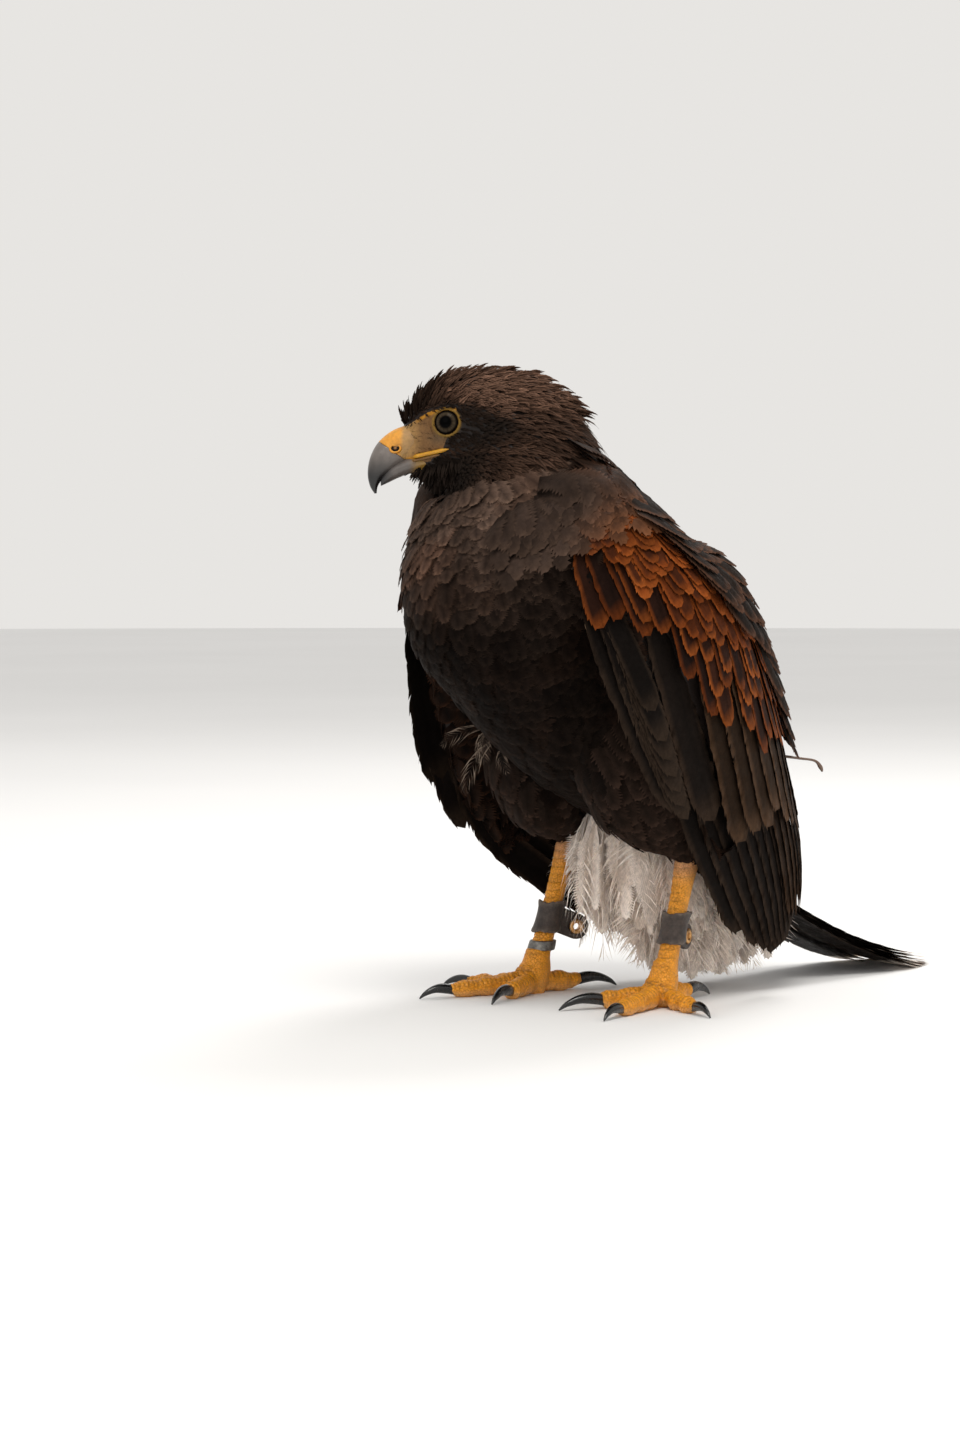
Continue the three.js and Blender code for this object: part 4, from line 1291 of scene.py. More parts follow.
def along_body(share):
    """The body's axis at a share of its length, pointing from the neck to the tail."""
    ahead = row_at(BODY_ROWS, np.minimum(share + 0.02, 1))
    behind = row_at(BODY_ROWS, np.maximum(share - 0.02, 0))
    zero = np.zeros_like(share)
    return unit(place(zero, behind[..., 0] - ahead[..., 0], behind[..., 1] - ahead[..., 1]))


def lie_of(points, normals, label, share):
    """The direction in which feathers lie, along the skin."""
    body_share = np.where(label == "body", share, 0.5)
    lie = along_body(body_share)
    lie[label == "head"] = along_body(np.array(0.95))
    from_middle = np.stack([points[:, 0] / 60, 0 * share, 0 * share], -1)
    lie = lie + 0.15 * from_middle
    _, aside, up = head_place(points)
    cheek = smooth(2, 14, np.abs(aside)) * 0.35
    crown = -0.1 * smooth(5, 25, up)
    backward = head_direction(-np.ones_like(cheek), 0.12 * np.sign(aside), -(cheek + crown))
    reach = np.linalg.norm(points - head_point(0, 0, 0), axis=-1)
    weight = ((1 - smooth(36, 58, reach)))[:, None]
    lie = mix(lie, backward, weight)
    for name in SIDES:
        rows = np.array(thigh_rows(name))
        down = unit(place(*(rows[-2] - rows[1])[:3]) + np.array([0, 8.0, 0]))
        on_thigh = (label == f"thigh_{name}")[:, None]
        lie = np.where(on_thigh, down, lie)
        on_wing = (label == f"wing_{name}")[:, None]
        ends = wing_sheet(name, np.array([0.1, 0.6]), np.array([0.5, 0.5]))
        lie = np.where(on_wing, unit(ends[1] - ends[0]), lie)
    back = tail_spot(np.array(40.0))[0] - tail_spot(np.array(0.0))[0]
    lie = np.where((label == "tail")[:, None], unit(back), lie)
    lie = np.where((label == "vent")[:, None], unit(np.array([0, 0.7, -0.8])), lie)
    lie = lie - dot(lie, normals) * normals
    return unit(lie)


def turned_about(vector, axis, angle):
    c, s = np.cos(angle)[:, None], np.sin(angle)[:, None]
    return vector * c + np.cross(axis, vector) * s + axis * dot(axis, vector) * (1 - c)


def arc(vane, start, control, end):
    """The middle line of each feather, bent towards its control point, and its direction along it."""
    v = vane.v[None, :, None]
    s, c, e = start[:, None], control[:, None], end[:, None]
    line = (1 - v) ** 2 * s + 2 * v * (1 - v) * c + v ** 2 * e
    return line, unit(2 * (1 - v) * (c - s) + 2 * v * (e - c))


def hug(coat, vane, points, normals, faces, lie, length, half, lift, tint, camber=0.25, sink=0.8, stray=0.10,
        ragged=0.06, droop=0.0, steady=0.0):
    """Feathers that start at points on the skin and follow it, each tip a lift above it."""
    n = len(points)
    length, half, lift = [np.asarray(x, float) * np.ones(n) for x in (length, half, lift)]
    lie = turned_about(lie, normals, stray * chance.standard_normal(n))
    length = length * (1 + 0.12 * chance.standard_normal(n))
    lift = lift * np.clip(1 + 0.22 * (1 - steady) * chance.standard_normal(n), 0.4, 1.8)
    start = points - normals * sink
    middle, middle_normal, _ = SURFACE.nearest(points + lie * length[:, None] * 0.5)
    end, end_normal, _ = SURFACE.nearest(points + lie * length[:, None])
    step = np.linalg.norm(end - points, axis=-1)
    short = np.clip(length / np.maximum(step, 0.3 * length), 1, 1.6)[:, None]
    end = points + (end - points) * short
    on_middle = middle + middle_normal * (lift * 0.75)[:, None]
    end = end + end_normal * lift[:, None] + np.array([0, 0, -1.0]) * droop
    control = 2 * on_middle - 0.5 * (start + end)
    centre, tangent = arc(vane, start, control, end)
    up = mix(normals[:, None], end_normal[:, None], vane.v[None, :, None])
    side = unit(np.cross(tangent, up))
    normal = unit(np.cross(side, tangent))
    coat.add(vane, centre, side, normal, half, tint, FACE_UV[faces], camber, ragged)


def mottle(points, size, kind):
    """A smooth pattern from -1 to 1 that varies over about the given size."""
    waves = np.random.default_rng(kind)
    total = 0
    for _ in range(5):
        way = unit(waves.standard_normal(3))
        total = total + np.sin(points @ way * (2.2 + 2 * waves.random()) / size + 6.3 * waves.random())
    return np.clip(total / 2.6, -1, 1)


# The coat of head, neck, body and thighs

coat_head = Coat("coat_head", FEATHER, ["head"], "brown_plumage")
coat_body = Coat("coat_body", FEATHER, ["torso", "neck"], "brown_plumage")
coat_thighs = Coat("coat_thighs", FEATHER, ["thigh_left", "thigh_right"], "brown_plumage")
coat_white = Coat("coat_white", DOWN, ["undertail_coverts"], "white_plumage")

CANDIDATES = 150000
BRISTLE_CANDIDATES = 60000
spots, spot_normals, spot_faces = scattered(CANDIDATES)
spot_label, spot_share = labels_of(spots, SKIN_FORMS)


def pick(mask, spacing):
    """The places of a region, thinned to a spacing that may vary over them."""
    numbers = np.nonzero(mask)[0]
    gaps = (np.asarray(spacing, float) * np.ones(len(spots)))[numbers]
    return numbers[thinned(spots[numbers], gaps)]


def spread_of(numbers):
    points, normals, faces = spots[numbers], spot_normals[numbers], spot_faces[numbers]
    lie = lie_of(points, normals, spot_label[numbers], spot_share[numbers])
    return points, normals, faces, lie


def clothe_head():
    forward, aside, up = head_place(spots)
    reach = np.linalg.norm(spots - head_point(0, 0, 0), axis=-1)
    on_head = ((spot_label == "head") | ((spot_label == "body") & (reach < HEAD_TO))) & ~bare_face(spots, 0.3)
    size = steps(forward, [-45, -25, -5, 10, 20, 32, 45], [14, 12.5, 10.5, 8, 6, 4.4, 3.2])
    cheek = (1 - smooth(8, 16, np.abs(up + 4))) * smooth(-28, -8, forward)
    size = size * mix(1.0, 0.72, cheek)
    numbers = pick(on_head, size * mix(0.15, 0.2, cheek))
    points, normals, faces, lie = spread_of(numbers)
    size = size[numbers]
    forward, aside, up = forward[numbers], aside[numbers], up[numbers]
    face_dark = smooth(-10, 2, forward) * (1 - smooth(2, 9, np.abs(up + 4)))
    face_dark = face_dark + smooth(-14, -19, up) * smooth(0, 22, forward)
    for side in (1, -1):
        across = round_eye(points, side)[1]
        face_dark = np.maximum(face_dark, (1 - smooth(9, 15, across)) * 0.9)
    face_dark = np.clip(face_dark, 0, 1)[:, None]
    streak = np.clip(chance.random((len(numbers), 1)) + 0.35 * mottle(points, 6, 4)[:, None], 0, 1)
    base = mix(HEAD_DARK, HEAD_DARK * 1.5, streak)
    edge = mix(HEAD_EDGE, HEAD_EDGE * 1.35, streak)
    # Painted light, with the crown's own paler streaks: fringes lighter on top of the head, darker low down
    # and at the back
    high = mix(0.42, 1.15, smooth(-6, 16, up) * smooth(-48, -22, forward))[:, None]
    high = high * (1 + 0.35 * mottle(points, 5, 9)[:, None])
    base, edge = base * mix(0.7, 1.0, high), edge * high
    base = mix(base, repeated(FACE_BLACK, len(numbers)), face_dark)
    edge = mix(edge, repeated(FACE_BLACK * 1.8, len(numbers)), face_dark)
    raised = smooth(8, -30, forward) * smooth(-16, 4, up)
    small = size < 5.4
    for vane, mask in ((TINY, small), (POINTED, ~small)):
        tint = feather_tint(vane, base[mask], edge[mask], 0.9, 0.5, 0.1, 0.16)
        lift = size[mask] * (0.24 + 0.08 * raised[mask])
        lift = lift * (1 + 0.6 * raised[mask] * (chance.random(mask.sum()) > 0.8))
        hug(coat_head, vane, points[mask], normals[mask], faces[mask], lie[mask], size[mask],
            size[mask] * 0.15, lift, tint, 0.3, 0.4, 0.2, 0.14)


def raise_head_feathers():
    """Pointed feathers that stand up on the forehead, stick out of crown and nape and hang from the chin."""
    forward, aside, up = head_place(spots)
    top = (spot_label == "head") & (up > brow_up(forward) + 0.3) & (forward < 52)
    front = pick(top & (forward > 24), 1.5)
    crown = pick(top & (forward <= 24) & (forward > -40) & (up > 4), 3.6)
    low = (spot_label == "head") & (up < mouth_line(forward) - 4)
    chin = pick(low & (forward > 12) & (forward < 44), 1.5)
    for numbers, kind in ((front, "front"), (crown, "crown"), (chin, "chin")):
        p, n = spots[numbers], spot_normals[numbers]
        f, a = forward[numbers], aside[numbers]
        stray = 0.14 * chance.standard_normal((len(p), 3))
        if kind == "chin":
            ahead, outward = steps(f, [12, 30, 40, 46], [0, 0.12, 0.5, 0.8]), smooth(2, 9, np.abs(a))
            way = unit(head_direction(ahead, 0.3 * np.sign(a) * outward, -1 + 0 * f) + stray)
            long = steps(f, [12, 30, 44], [9, 10, 8])
            base, edge = FACE_BLACK * 1.2, FACE_BLACK * 2.2
        else:
            lean = np.radians(steps(f, [-40, 0, 15, 28, 40, 46, 52], [-14, 8, 18, 38, 74, 98, 122]))
            way = unit(head_direction(-np.cos(lean), 0.1 * a / 10, np.sin(lean)) + stray)
            long = steps(f, [-40, 0, 20, 35, 45, 52], [14, 13, 10, 11, 11, 8])
            base = HEAD_DARK * 0.9
            edge = mix(HEAD_EDGE * 1.2, HEAD_DARK * 1.5, smooth(20, 44, f)[:, None])
        long = (long * (0.8 + 0.35 * chance.random(len(p))))[:, None]
        edge = edge * np.ones((len(p), 1))
        tint = feather_tint(POINTED, repeated(base, len(p)), edge, 0.9, 0.7, 0.1, 0.2)
        start = p - 0.5 * n
        half = 0.55 + 0.05 * long[:, 0]
        hang(coat_head, POINTED, start, start + way * long, n * long * 0.2, half, tint, 0.3, 0.14)


def clothe_body():
    reach = np.linalg.norm(spots - head_point(0, 0, 0), axis=-1)
    body = (spot_label == "body") & (reach >= BODY_FROM)
    front = -spots[:, 1] - row_at(BODY_ROWS, spot_share)[:, 0]
    behind = smooth(6, -14, front)
    share = spot_share
    size = steps(share, [0, 0.15, 0.35, 0.6, 0.78, 0.9, 1.0], [20, 24, 24, 21, 18, 14, 11])
    size = mix(size, size * 1.25, behind)
    gap = mix(size * mix(0.18, 0.15, smooth(0.5, 0.7, share)), size * 0.22, behind)
    numbers = pick(body, gap)
    points, normals, faces, lie = spread_of(numbers)
    size, share, behind = size[numbers], share[numbers], behind[numbers]
    neck = smooth(0.76, 0.92, share)[:, None]
    lower = smooth(0.4, 0.15, share)[:, None]
    back = behind[:, None]
    base = mix(mix(BREAST, NECK, neck), THIGH, lower)
    edge = mix(mix(BREAST_EDGE, NECK_EDGE, neck), THIGH_EDGE, lower)
    base, edge = mix(base, BACK, back), mix(edge, mix(BREAST_EDGE, BACK_EDGE, 0.35), back)
    warm = 0.3 * np.clip(mottle(points, 15, 3), 0, 1)[:, None]
    base, edge = mix(base, paint("4a3226"), warm), mix(edge, paint("6b4a38"), warm)
    patch = 1 + 0.25 * mottle(points, 12, 1) + 0.12 * mottle(points, 5, 2)
    left, forward, up = points[:, 0], -points[:, 1], points[:, 2]
    # Painted shade darkens a furrow down the breast and the belly, and painted light brightens the upper
    # breast, less so behind
    furrow = hill(left - 7, 3 * np.sin(up / 17), 5) * smooth(20, 50, forward)
    furrow = furrow * smooth(140, 170, up) * (1 - smooth(255, 280, up))
    shade = mix(0.22, mix(2.0, 0.8, behind), smooth(206, 268, up))
    patch = (patch * (1 - 0.45 * furrow) * shade)[:, None]
    base, edge = base * patch, edge * patch
    rump = back * smooth(0.22, 0.14, share)[:, None]
    base, edge = mix(base, WHITE_ROOT, rump), mix(edge, WHITE, rump)
    pointed = share > 0.84
    for vane, mask, ratio in ((POINTED, pointed, 0.24), (HAIRY, ~pointed, 0.34)):
        tint = feather_tint(vane, base[mask], edge[mask], 0.75, 0.45, 0.07, 0.12)
        tint = tint * (1 - 0.35 * vane.shaft[None, :, None])
        facing = np.clip(normals[mask] @ np.array([-0.67, -0.74, 0.0]), 0, 1) ** 2
        fuller = facing * steps(share[mask], [0.4, 0.55, 0.7, 0.88, 1], [0, 2.5, 5.0, 8, 9])
        lift = steps(share[mask], [0, 0.5, 0.85, 1], [4.4, 4.4, 3.6, 3.2]) + fuller
        hug(coat_body, vane, points[mask], normals[mask], faces[mask], lie[mask], size[mask],
            size[mask] * ratio, lift, tint, 0.16, 0.8, 0.16, 0.12, steady=0.5)


def clothe_thighs():
    for name in SIDES:
        on_thigh = spot_label == f"thigh_{name}"
        size = steps(spot_share, [0, 0.5, 0.8, 1], [26, 25, 18, 9])
        numbers = pick(on_thigh, size * 0.16)
        points, normals, faces, lie = spread_of(numbers)
        size, share = size[numbers], spot_share[numbers]
        base = repeated(THIGH, len(numbers))
        edge = repeated(THIGH_EDGE, len(numbers))
        pale = smooth(0.86, 0.97, share)[:, None]
        base, edge = mix(base, paint("6b4a3e"), pale * 0.8), mix(edge, paint("b98c78"), pale)
        tint = feather_tint(SOFT, base, edge, 0.8, 0.45, 0.08, 0.14)
        lift = steps(share, [0, 0.8, 1], [5, 4.5, 1.6])
        hug(coat_thighs, SOFT, points, normals, faces, lie, size, size * 0.24, lift, tint, 0.3, 0.8, 0.12,
            0.12, droop=0.4)


def hang(coat, vane, starts, ends, belly, half, tint, camber=0.2, ragged=0.2):
    """Loose feathers from one place to another, each bent outwards in the middle and turned at random."""
    n = len(starts)
    centre, tangent = arc(vane, starts, (starts + ends) / 2 + belly, ends)
    facing = unit(chance.standard_normal((n, 3)) * [1, 1, 0.2] + [0.4, -0.9, 0])
    side = unit(np.cross(tangent, facing[:, None] * np.ones_like(centre)))
    normal = unit(np.cross(side, tangent))
    coat.add(vane, centre, side, normal, half, tint, bake_spots(starts), camber, ragged)


def clothe_vent():
    white = (spot_label == "vent") | ((spot_label == "tail") & (spot_normals[:, 2] < -0.1))
    low = (spot_label == "body") & (spot_share < 0.16) & (spot_normals[:, 2] < 0.2)
    numbers = pick(white | low, 3.2)
    points, normals, faces, lie = spread_of(numbers)
    n = len(numbers)
    base, edge = repeated(WHITE_ROOT, n), repeated(WHITE, n)
    room = np.clip((points[:, 2] - 6) / 46, 0.35, 1)
    tint = feather_tint(FLUFF, base, edge, 1.0, 0.85, 0.03, 0.05)
    hug(coat_white, FLUFF, points, normals, faces, lie, 30 * room, 6, 5.0, tint, 0.3, 0.8, 0.2, 0.1,
        droop=2.0)
    # Long loose plumes that hang between and behind the legs
    belly_skin = (spot_label == "body") & (spot_share < 0.3) & (spot_normals[:, 2] < -0.1)
    under = pick(white | low | belly_skin, 3.6)
    starts = spots[under]
    starts = starts[(np.abs(starts[:, 0] - 3) < 27) & (-starts[:, 1] < -4)]
    kinds = ((FLUFF, 1, (5, 3), (32, 34)), (FLUFF, 1, (5, 3), (32, 34)), (PLUME, 4, (10, 10), (34, 50)),
             (WISP, 5, (10, 12), (40, 56)))
    for vane, every, half, reach in kinds:
        begin = starts[::every]
        n = len(begin)
        low_end = steps(-begin[:, 1], [-100, -60, -30, 0], [14, 5, 8, 34])
        low_end = low_end + 9 * np.abs(chance.standard_normal(n))
        drop = np.maximum(np.minimum(begin[:, 2] - low_end, begin[:, 2] - 2), 14)
        drop = np.minimum(drop, reach[0] + reach[1] * chance.random(n))
        shift = 5 if vane is FLUFF else 12
        ends = begin + np.stack([0.25 * begin[:, 0] + shift * chance.standard_normal(n),
                                 4 + shift * chance.standard_normal(n), -drop], -1)
        ends[:, 0] = np.minimum(ends[:, 0], 32)
        backward = -2 + 0.6 * shift * chance.standard_normal(n)
        belly = np.stack([0.15 * begin[:, 0], backward, np.full(n, 4.0)], -1)
        soft = 0.88 + 0.12 * chance.random((n, 1))
        tint = feather_tint(vane, mix(WHITE_ROOT, WHITE, 0.4) * soft, WHITE * soft, 1.0, 0.85, 0.03, 0.05)
        hang(coat_white, vane, begin, ends, belly, half[0] + half[1] * chance.random(n), tint, 0.3, 0.08)


def loose_hairs():
    """A few wisps at the right flank and one bent quill that sticks out behind the left wing."""
    away = np.linalg.norm(spots - np.array([-38, -48, 132]), axis=-1)
    starts = spots[pick((spot_label == "body") & (away < 16), 5.0)][:5]
    n = len(starts)
    ends = starts + np.array([-11, -14, -17]) + 7 * chance.standard_normal((n, 3))
    belly = repeated([-5.0, -5.0, 5.0], n)
    dark, pale = repeated(paint("3a312b"), n), repeated(paint("8a7a6c"), n)
    tint = feather_tint(WISP, dark, pale, 1.0, 0.8, 0.04, 0.1)
    hang(coat_body, WISP, starts, ends, belly, 4 + 2 * chance.random(n), tint, 0.3, 0.1)
    rows = [(38, 94, 127, 0.8), (44, 104, 125.5, 0.75), (48, 112, 124, 0.7), (49.5, 115, 120.5, 1.2),
            (50, 116, 118, 0.5)]
    new_solid("bent_quill", tube(rows, 30, 8), paint("6a5344"), CLAW_HORN, ["wing_left"])


def clothe_wing_flesh():
    """Under-wing feathers, on the wing's flesh where the outer tiers don't cover it."""
    for name in SIDES:
        _, out, _ = wing_spot(name, FLESH_END * spot_share, np.full_like(spot_share, 0.5))
        inside = dot(spot_normals, out)[:, 0] < 0.35
        numbers = pick((spot_label == f"wing_{name}") & inside, 5.0)
        points, normals, faces, lie = spread_of(numbers)
        n = len(numbers)
        base, edge = repeated(BLACK, n), repeated(mix(BLACK_EDGE, RUFOUS, 0.1), n)
        tint = feather_tint(SOFT, base, edge, 0.8, 0.5, 0.07, 0.12)
        hug(coats_wing[name], SOFT, points, normals, faces, lie, 17, 7, 1.8, tint, 0.25, 0.8, 0.08, 0.05,
            steady=0.8)


# Wings and tail, tier by tier

coats_wing = {name: Coat(f"coat_wing_{name}", FLIGHT, [f"wing_{name}"], "wing_plumage") for name in SIDES}
coat_tail = Coat("coat_tail", FLIGHT, ["tail"], "tail_plumage")

# How far each feather of a wing is turned about its shaft, so that it overlaps the next one
WING_TILT = 0.17

# How far the plumage stands out of the sheet along the wing
ENVELOPE = ([-0.12, 0, 0.05, 0.1, 0.2, 0.35, 0.45, 0.55, 0.65, 0.75, 0.85, 0.95, 1.0],
            [1, 6, 9.5, 12, 14.5, 14.5, 13.5, 11.8, 9.8, 7.6, 5.4, 3.2, 2.2])


def wing_round(across):
    """How far the plumage stands out at a place across the wing: less towards both edges."""
    beyond = np.clip(2 * np.asarray(across, float) - 1, -0.78, 1)
    return 0.3 + 0.7 * np.sqrt(np.maximum(0, 1 - np.abs(beyond) ** 4))


def rufous_edge(across):
    """Where the rufous coverts end along the wing."""
    return steps(across, [-0.2, -0.1, -0.03, 0.07, 0.12, 0.17, 0.25, 0.45, 0.6, 0.8, 1.0],
                 [0.02, 0.07, 0.12, 0.16, 0.2, 0.33, 0.42, 0.51, 0.55, 0.6, 0.6])


def outline_tree():
    """The outline of the plumage of body and thighs, which the wings' feathers stay outside."""
    points, faces, start = [], [], 0
    for rings in (body_form(-1.0), *[limb(thigh_rows(name), 30, 36, -1.0) for name in SIDES]):
        p, q, e = closed(rings)
        points += [tuple(x) for x in p]
        faces += [tuple(f + start) for f in q] + [tuple(f + start) for f in e]
        start += len(p)
    return BVHTree.FromPolygons(points, faces)


OUTLINE = outline_tree()


def clear_of_body(points, least):
    """Points moved out until they are a least distance outside the plumage of the body."""
    flat = points.reshape(-1, 3).copy()
    for i, p in enumerate(flat):
        where, normal, _, _ = OUTLINE.find_nearest(Vector(p))
        height = (Vector(p) - where).dot(normal)
        if height < least:
            flat[i] = p + np.array(normal) * (least - height)
    return flat.reshape(points.shape)


def wing_feathers(name, vane, root, tip, seat, half, lifts, base, edge, drift=0.0, share=1.0, ridge=0.0,
                  pattern=None, each=0.1, clear=0.6):
    """A batch of feathers on a wing; root and tip are places along it, seat is the place across."""
    root, tip, seat = [np.asarray(x, float) for x in np.broadcast_arrays(root, tip, seat)]
    v = vane.v[None, :]
    along = mix(root[:, None], tip[:, None], v)
    across = seat[:, None] + np.asarray(drift, float).reshape(-1, 1) * v
    across = across + WING_FRONT[name] * (1 - np.clip(across, 0, 1))
    point, out, over = wing_spot(name, along, across)
    low, high = lifts
    lift = mix(np.asarray(low, float).reshape(-1, 1), np.asarray(high, float).reshape(-1, 1), v)
    lift = lift * mix(wing_round(across), 1.0, smooth(0.6, 0.95, along))
    side_way = unit(over - WING_TILT * out)
    normal = unit(out + WING_TILT * over)
    centre = point + out * (lift * np.ones_like(along))[..., None]
    near = seat < 0.45
    if near.any():
        centre[near] = clear_of_body(centre[near], clear)
    tint = feather_tint(vane, base, edge, share, 0.6, 0.06, each)
    if pattern is not None:
        tint = tint * pattern(vane)[None, :, None]
    coats_wing[name].add(vane, centre, side_way * -SIDES[name], normal, half, tint, bake_spots(point[:, 0]),
                         0.12, 0.05, ridge)


def heights(root, tips, low, high):
    """The envelope's height at the root and at the tip, each with its own addition."""
    return steps(root, *ENVELOPE) + low, steps(tips, *ENVELOPE) + high


def shaded_shaft(vane):
    return 1 - 0.3 * vane.shaft


def dress_wing(name):
    # Primaries, the longest feathers, along the lower edge
    n = 11
    order = np.linspace(0, 1, n)
    ends = mix(-0.02, 0.6, order)
    tips = steps(order, [0, 0.12, 0.3, 0.6, 1], [0.8, 0.89, 0.95, 0.965, 0.93])
    base, edge = repeated(BLACK, n), repeated(BLACK_EDGE, n)
    wing_feathers(name, FLIGHT_VANE, 0.42, tips, ends + 0.06, 10, (3.5 + order, 0.8 + 1.4 * order), base,
                  edge, ridge=0.5, share=0.8, drift=-0.06, pattern=shaded_shaft)
    # Inner flight feathers, whose tips lie behind the secondaries
    n = 8
    order = np.linspace(0, 1, n)
    ends = mix(0.45, 0.95, order)
    tips = steps(order, [0, 0.3, 0.7, 1], [0.9, 0.94, 0.985, 0.95])
    base, edge = repeated(mix(BLACK, BROWN, 0.5), n), repeated(BROWN_EDGE * 0.55, n)
    wing_feathers(name, FLIGHT_VANE, 0.44, tips, ends + 0.04, 11, (6 + order, 2.6 + 1.4 * order), base, edge,
                  ridge=0.5, share=0.7, drift=-0.04, pattern=shaded_shaft)
    # Secondaries
    n = 12
    ends = np.linspace(-0.03, 0.95, n)
    tips = steps(ends, [-0.05, 0.07, 0.2, 0.36, 0.6, 0.8, 1], [0.46, 0.53, 0.62, 0.66, 0.73, 0.79, 0.84])
    tips = tips + 0.014 * chance.standard_normal(n)
    drift = -0.2 * (1 - ends) * np.minimum(1, 0.3 + ends * 6)
    own = chance.random((n, 1))
    base, edge = mix(BROWN * 0.7, BROWN * 1.1, own), mix(BROWN_EDGE * 0.6, BROWN_EDGE, own)
    dark = smooth(0.14, 0.04, ends)[:, None]
    base, edge = mix(base, BLACK, dark), mix(edge, BLACK_EDGE, dark)
    root = tips - 0.4
    wing_feathers(name, FLIGHT_VANE, root, tips, ends - drift, 11.5,
                  heights(root, tips, -3.5, -0.8), base, edge, ridge=0.45, share=0.7, drift=drift,
                  pattern=shaded_shaft, each=0.12)
    # Greater coverts, dark with rufous edges
    rows = [(0.0, 14, 0.2, 8.4, 0.62), (0.075, 15, 0.16, 8.2, 0.7), (0.14, 16, 0.14, 7.8, 0.78)]
    for back, n, long, half, red in rows:
        ends = np.linspace(-0.02, 0.9, n) + 0.014 * chance.standard_normal(n)
        tips = rufous_edge(ends) - back + 0.014 * chance.standard_normal(n)
        keep = tips > 0.1
        ends, tips = ends[keep], tips[keep]
        n = len(ends)
        own = chance.random((n, 1))
        base = mix(repeated(COVERT_DARK, n), RUFOUS, 0.12 * own)
        edge = mix(COVERT_DARK, mix(RUFOUS * 0.8, RUFOUS_LIGHT, 0.6 * own), red + 0.3 * own)
        # Painted shade: the coverts darker towards the wing's lower edge
        shade = mix(0.7, 1.0, smooth(0.05, 0.35, ends))[:, None]
        base, edge = base * shade, edge * shade
        root = np.maximum(tips - long, -0.04)
        drift = -0.12 * np.minimum(1, (1 - ends) * 4)
        wing_feathers(name, COVERT, root, tips, ends - drift, half,
                      heights(root, tips, -3.5, 0.2), base, edge, drift=drift, pattern=shaded_shaft,
                      ridge=0.3)
    # Median and lesser coverts
    row = 0
    back = 0.19
    while back < 0.66:
        n = 21
        ends = np.linspace(-0.14, 0.9, n) + (0.45 / n) * (row % 2) + 0.016 * chance.standard_normal(n)
        tips = rufous_edge(ends) - back + 0.014 * chance.standard_normal(n)
        keep = (tips > -0.04) & (ends < 0.95)
        ends, tips = ends[keep], tips[keep]
        n = len(ends)
        if n:
            brown = np.clip(smooth(0.06, -0.06, tips) + 0.8 * smooth(0.85, 0.97, ends), 0, 1)[:, None]
            own = chance.random((n, 1))
            dark = smooth(0.5, 0.9, chance.random((n, 1)))
            base = mix(mix(repeated(COVERT_DARK, n), RUFOUS, 0.2 + 0.6 * own * (1 - dark)), BREAST, brown)
            edge = mix(mix(RUFOUS * 0.85, RUFOUS_LIGHT, 0.5 * own), BREAST_EDGE, brown)
            # Painted shade: the coverts darker towards the wing's lower edge
            shade = mix(0.75, 1.0, smooth(0.05, 0.35, ends))[:, None]
            base, edge = base * shade, edge * shade
            root = np.maximum(tips - 0.095, -0.1)
            drift = -0.08 * np.minimum(1, (1 - ends) * 4)
            wing_feathers(name, COVERT, root, tips, ends - drift, 6.6,
                          heights(root, tips, -3.5, 1.0), base, edge, share=0.9, each=0.16, drift=drift,
                          ridge=0.25)
        back += 0.03
        row += 1
    # The black feathers along the leading edge
    n = 7
    order = np.linspace(0, 1, n)
    tips = mix(0.3, 0.5 if WING_FRONT[name] == 0 else 0.57, order ** 0.7)
    base, edge = repeated(BLACK, n), repeated(mix(BLACK_EDGE, BUFF, 0.05), n)
    root = np.maximum(tips - 0.36, 0.05)
    wing_feathers(name, FLIGHT_VANE, root, tips, mix(0.05, 0.0, order), 7.0,
                  heights(root, tips, -2.0, 1.0 - 0.6 * order), base, edge, ridge=0.4, share=0.5, drift=-0.03,
                  clear=1.6)
    # A pale edge on two small feathers at the front
    if WING_FRONT[name] == 0:
        tips = np.array([0.2, 0.26])
        wing_feathers(name, FLIGHT_VANE, tips - 0.1, tips, -0.035, 2.4, (6.0, 8.0), repeated(BLACK, 2),
                      repeated(BUFF, 2), share=0.7, drift=-0.02, clear=2.0)


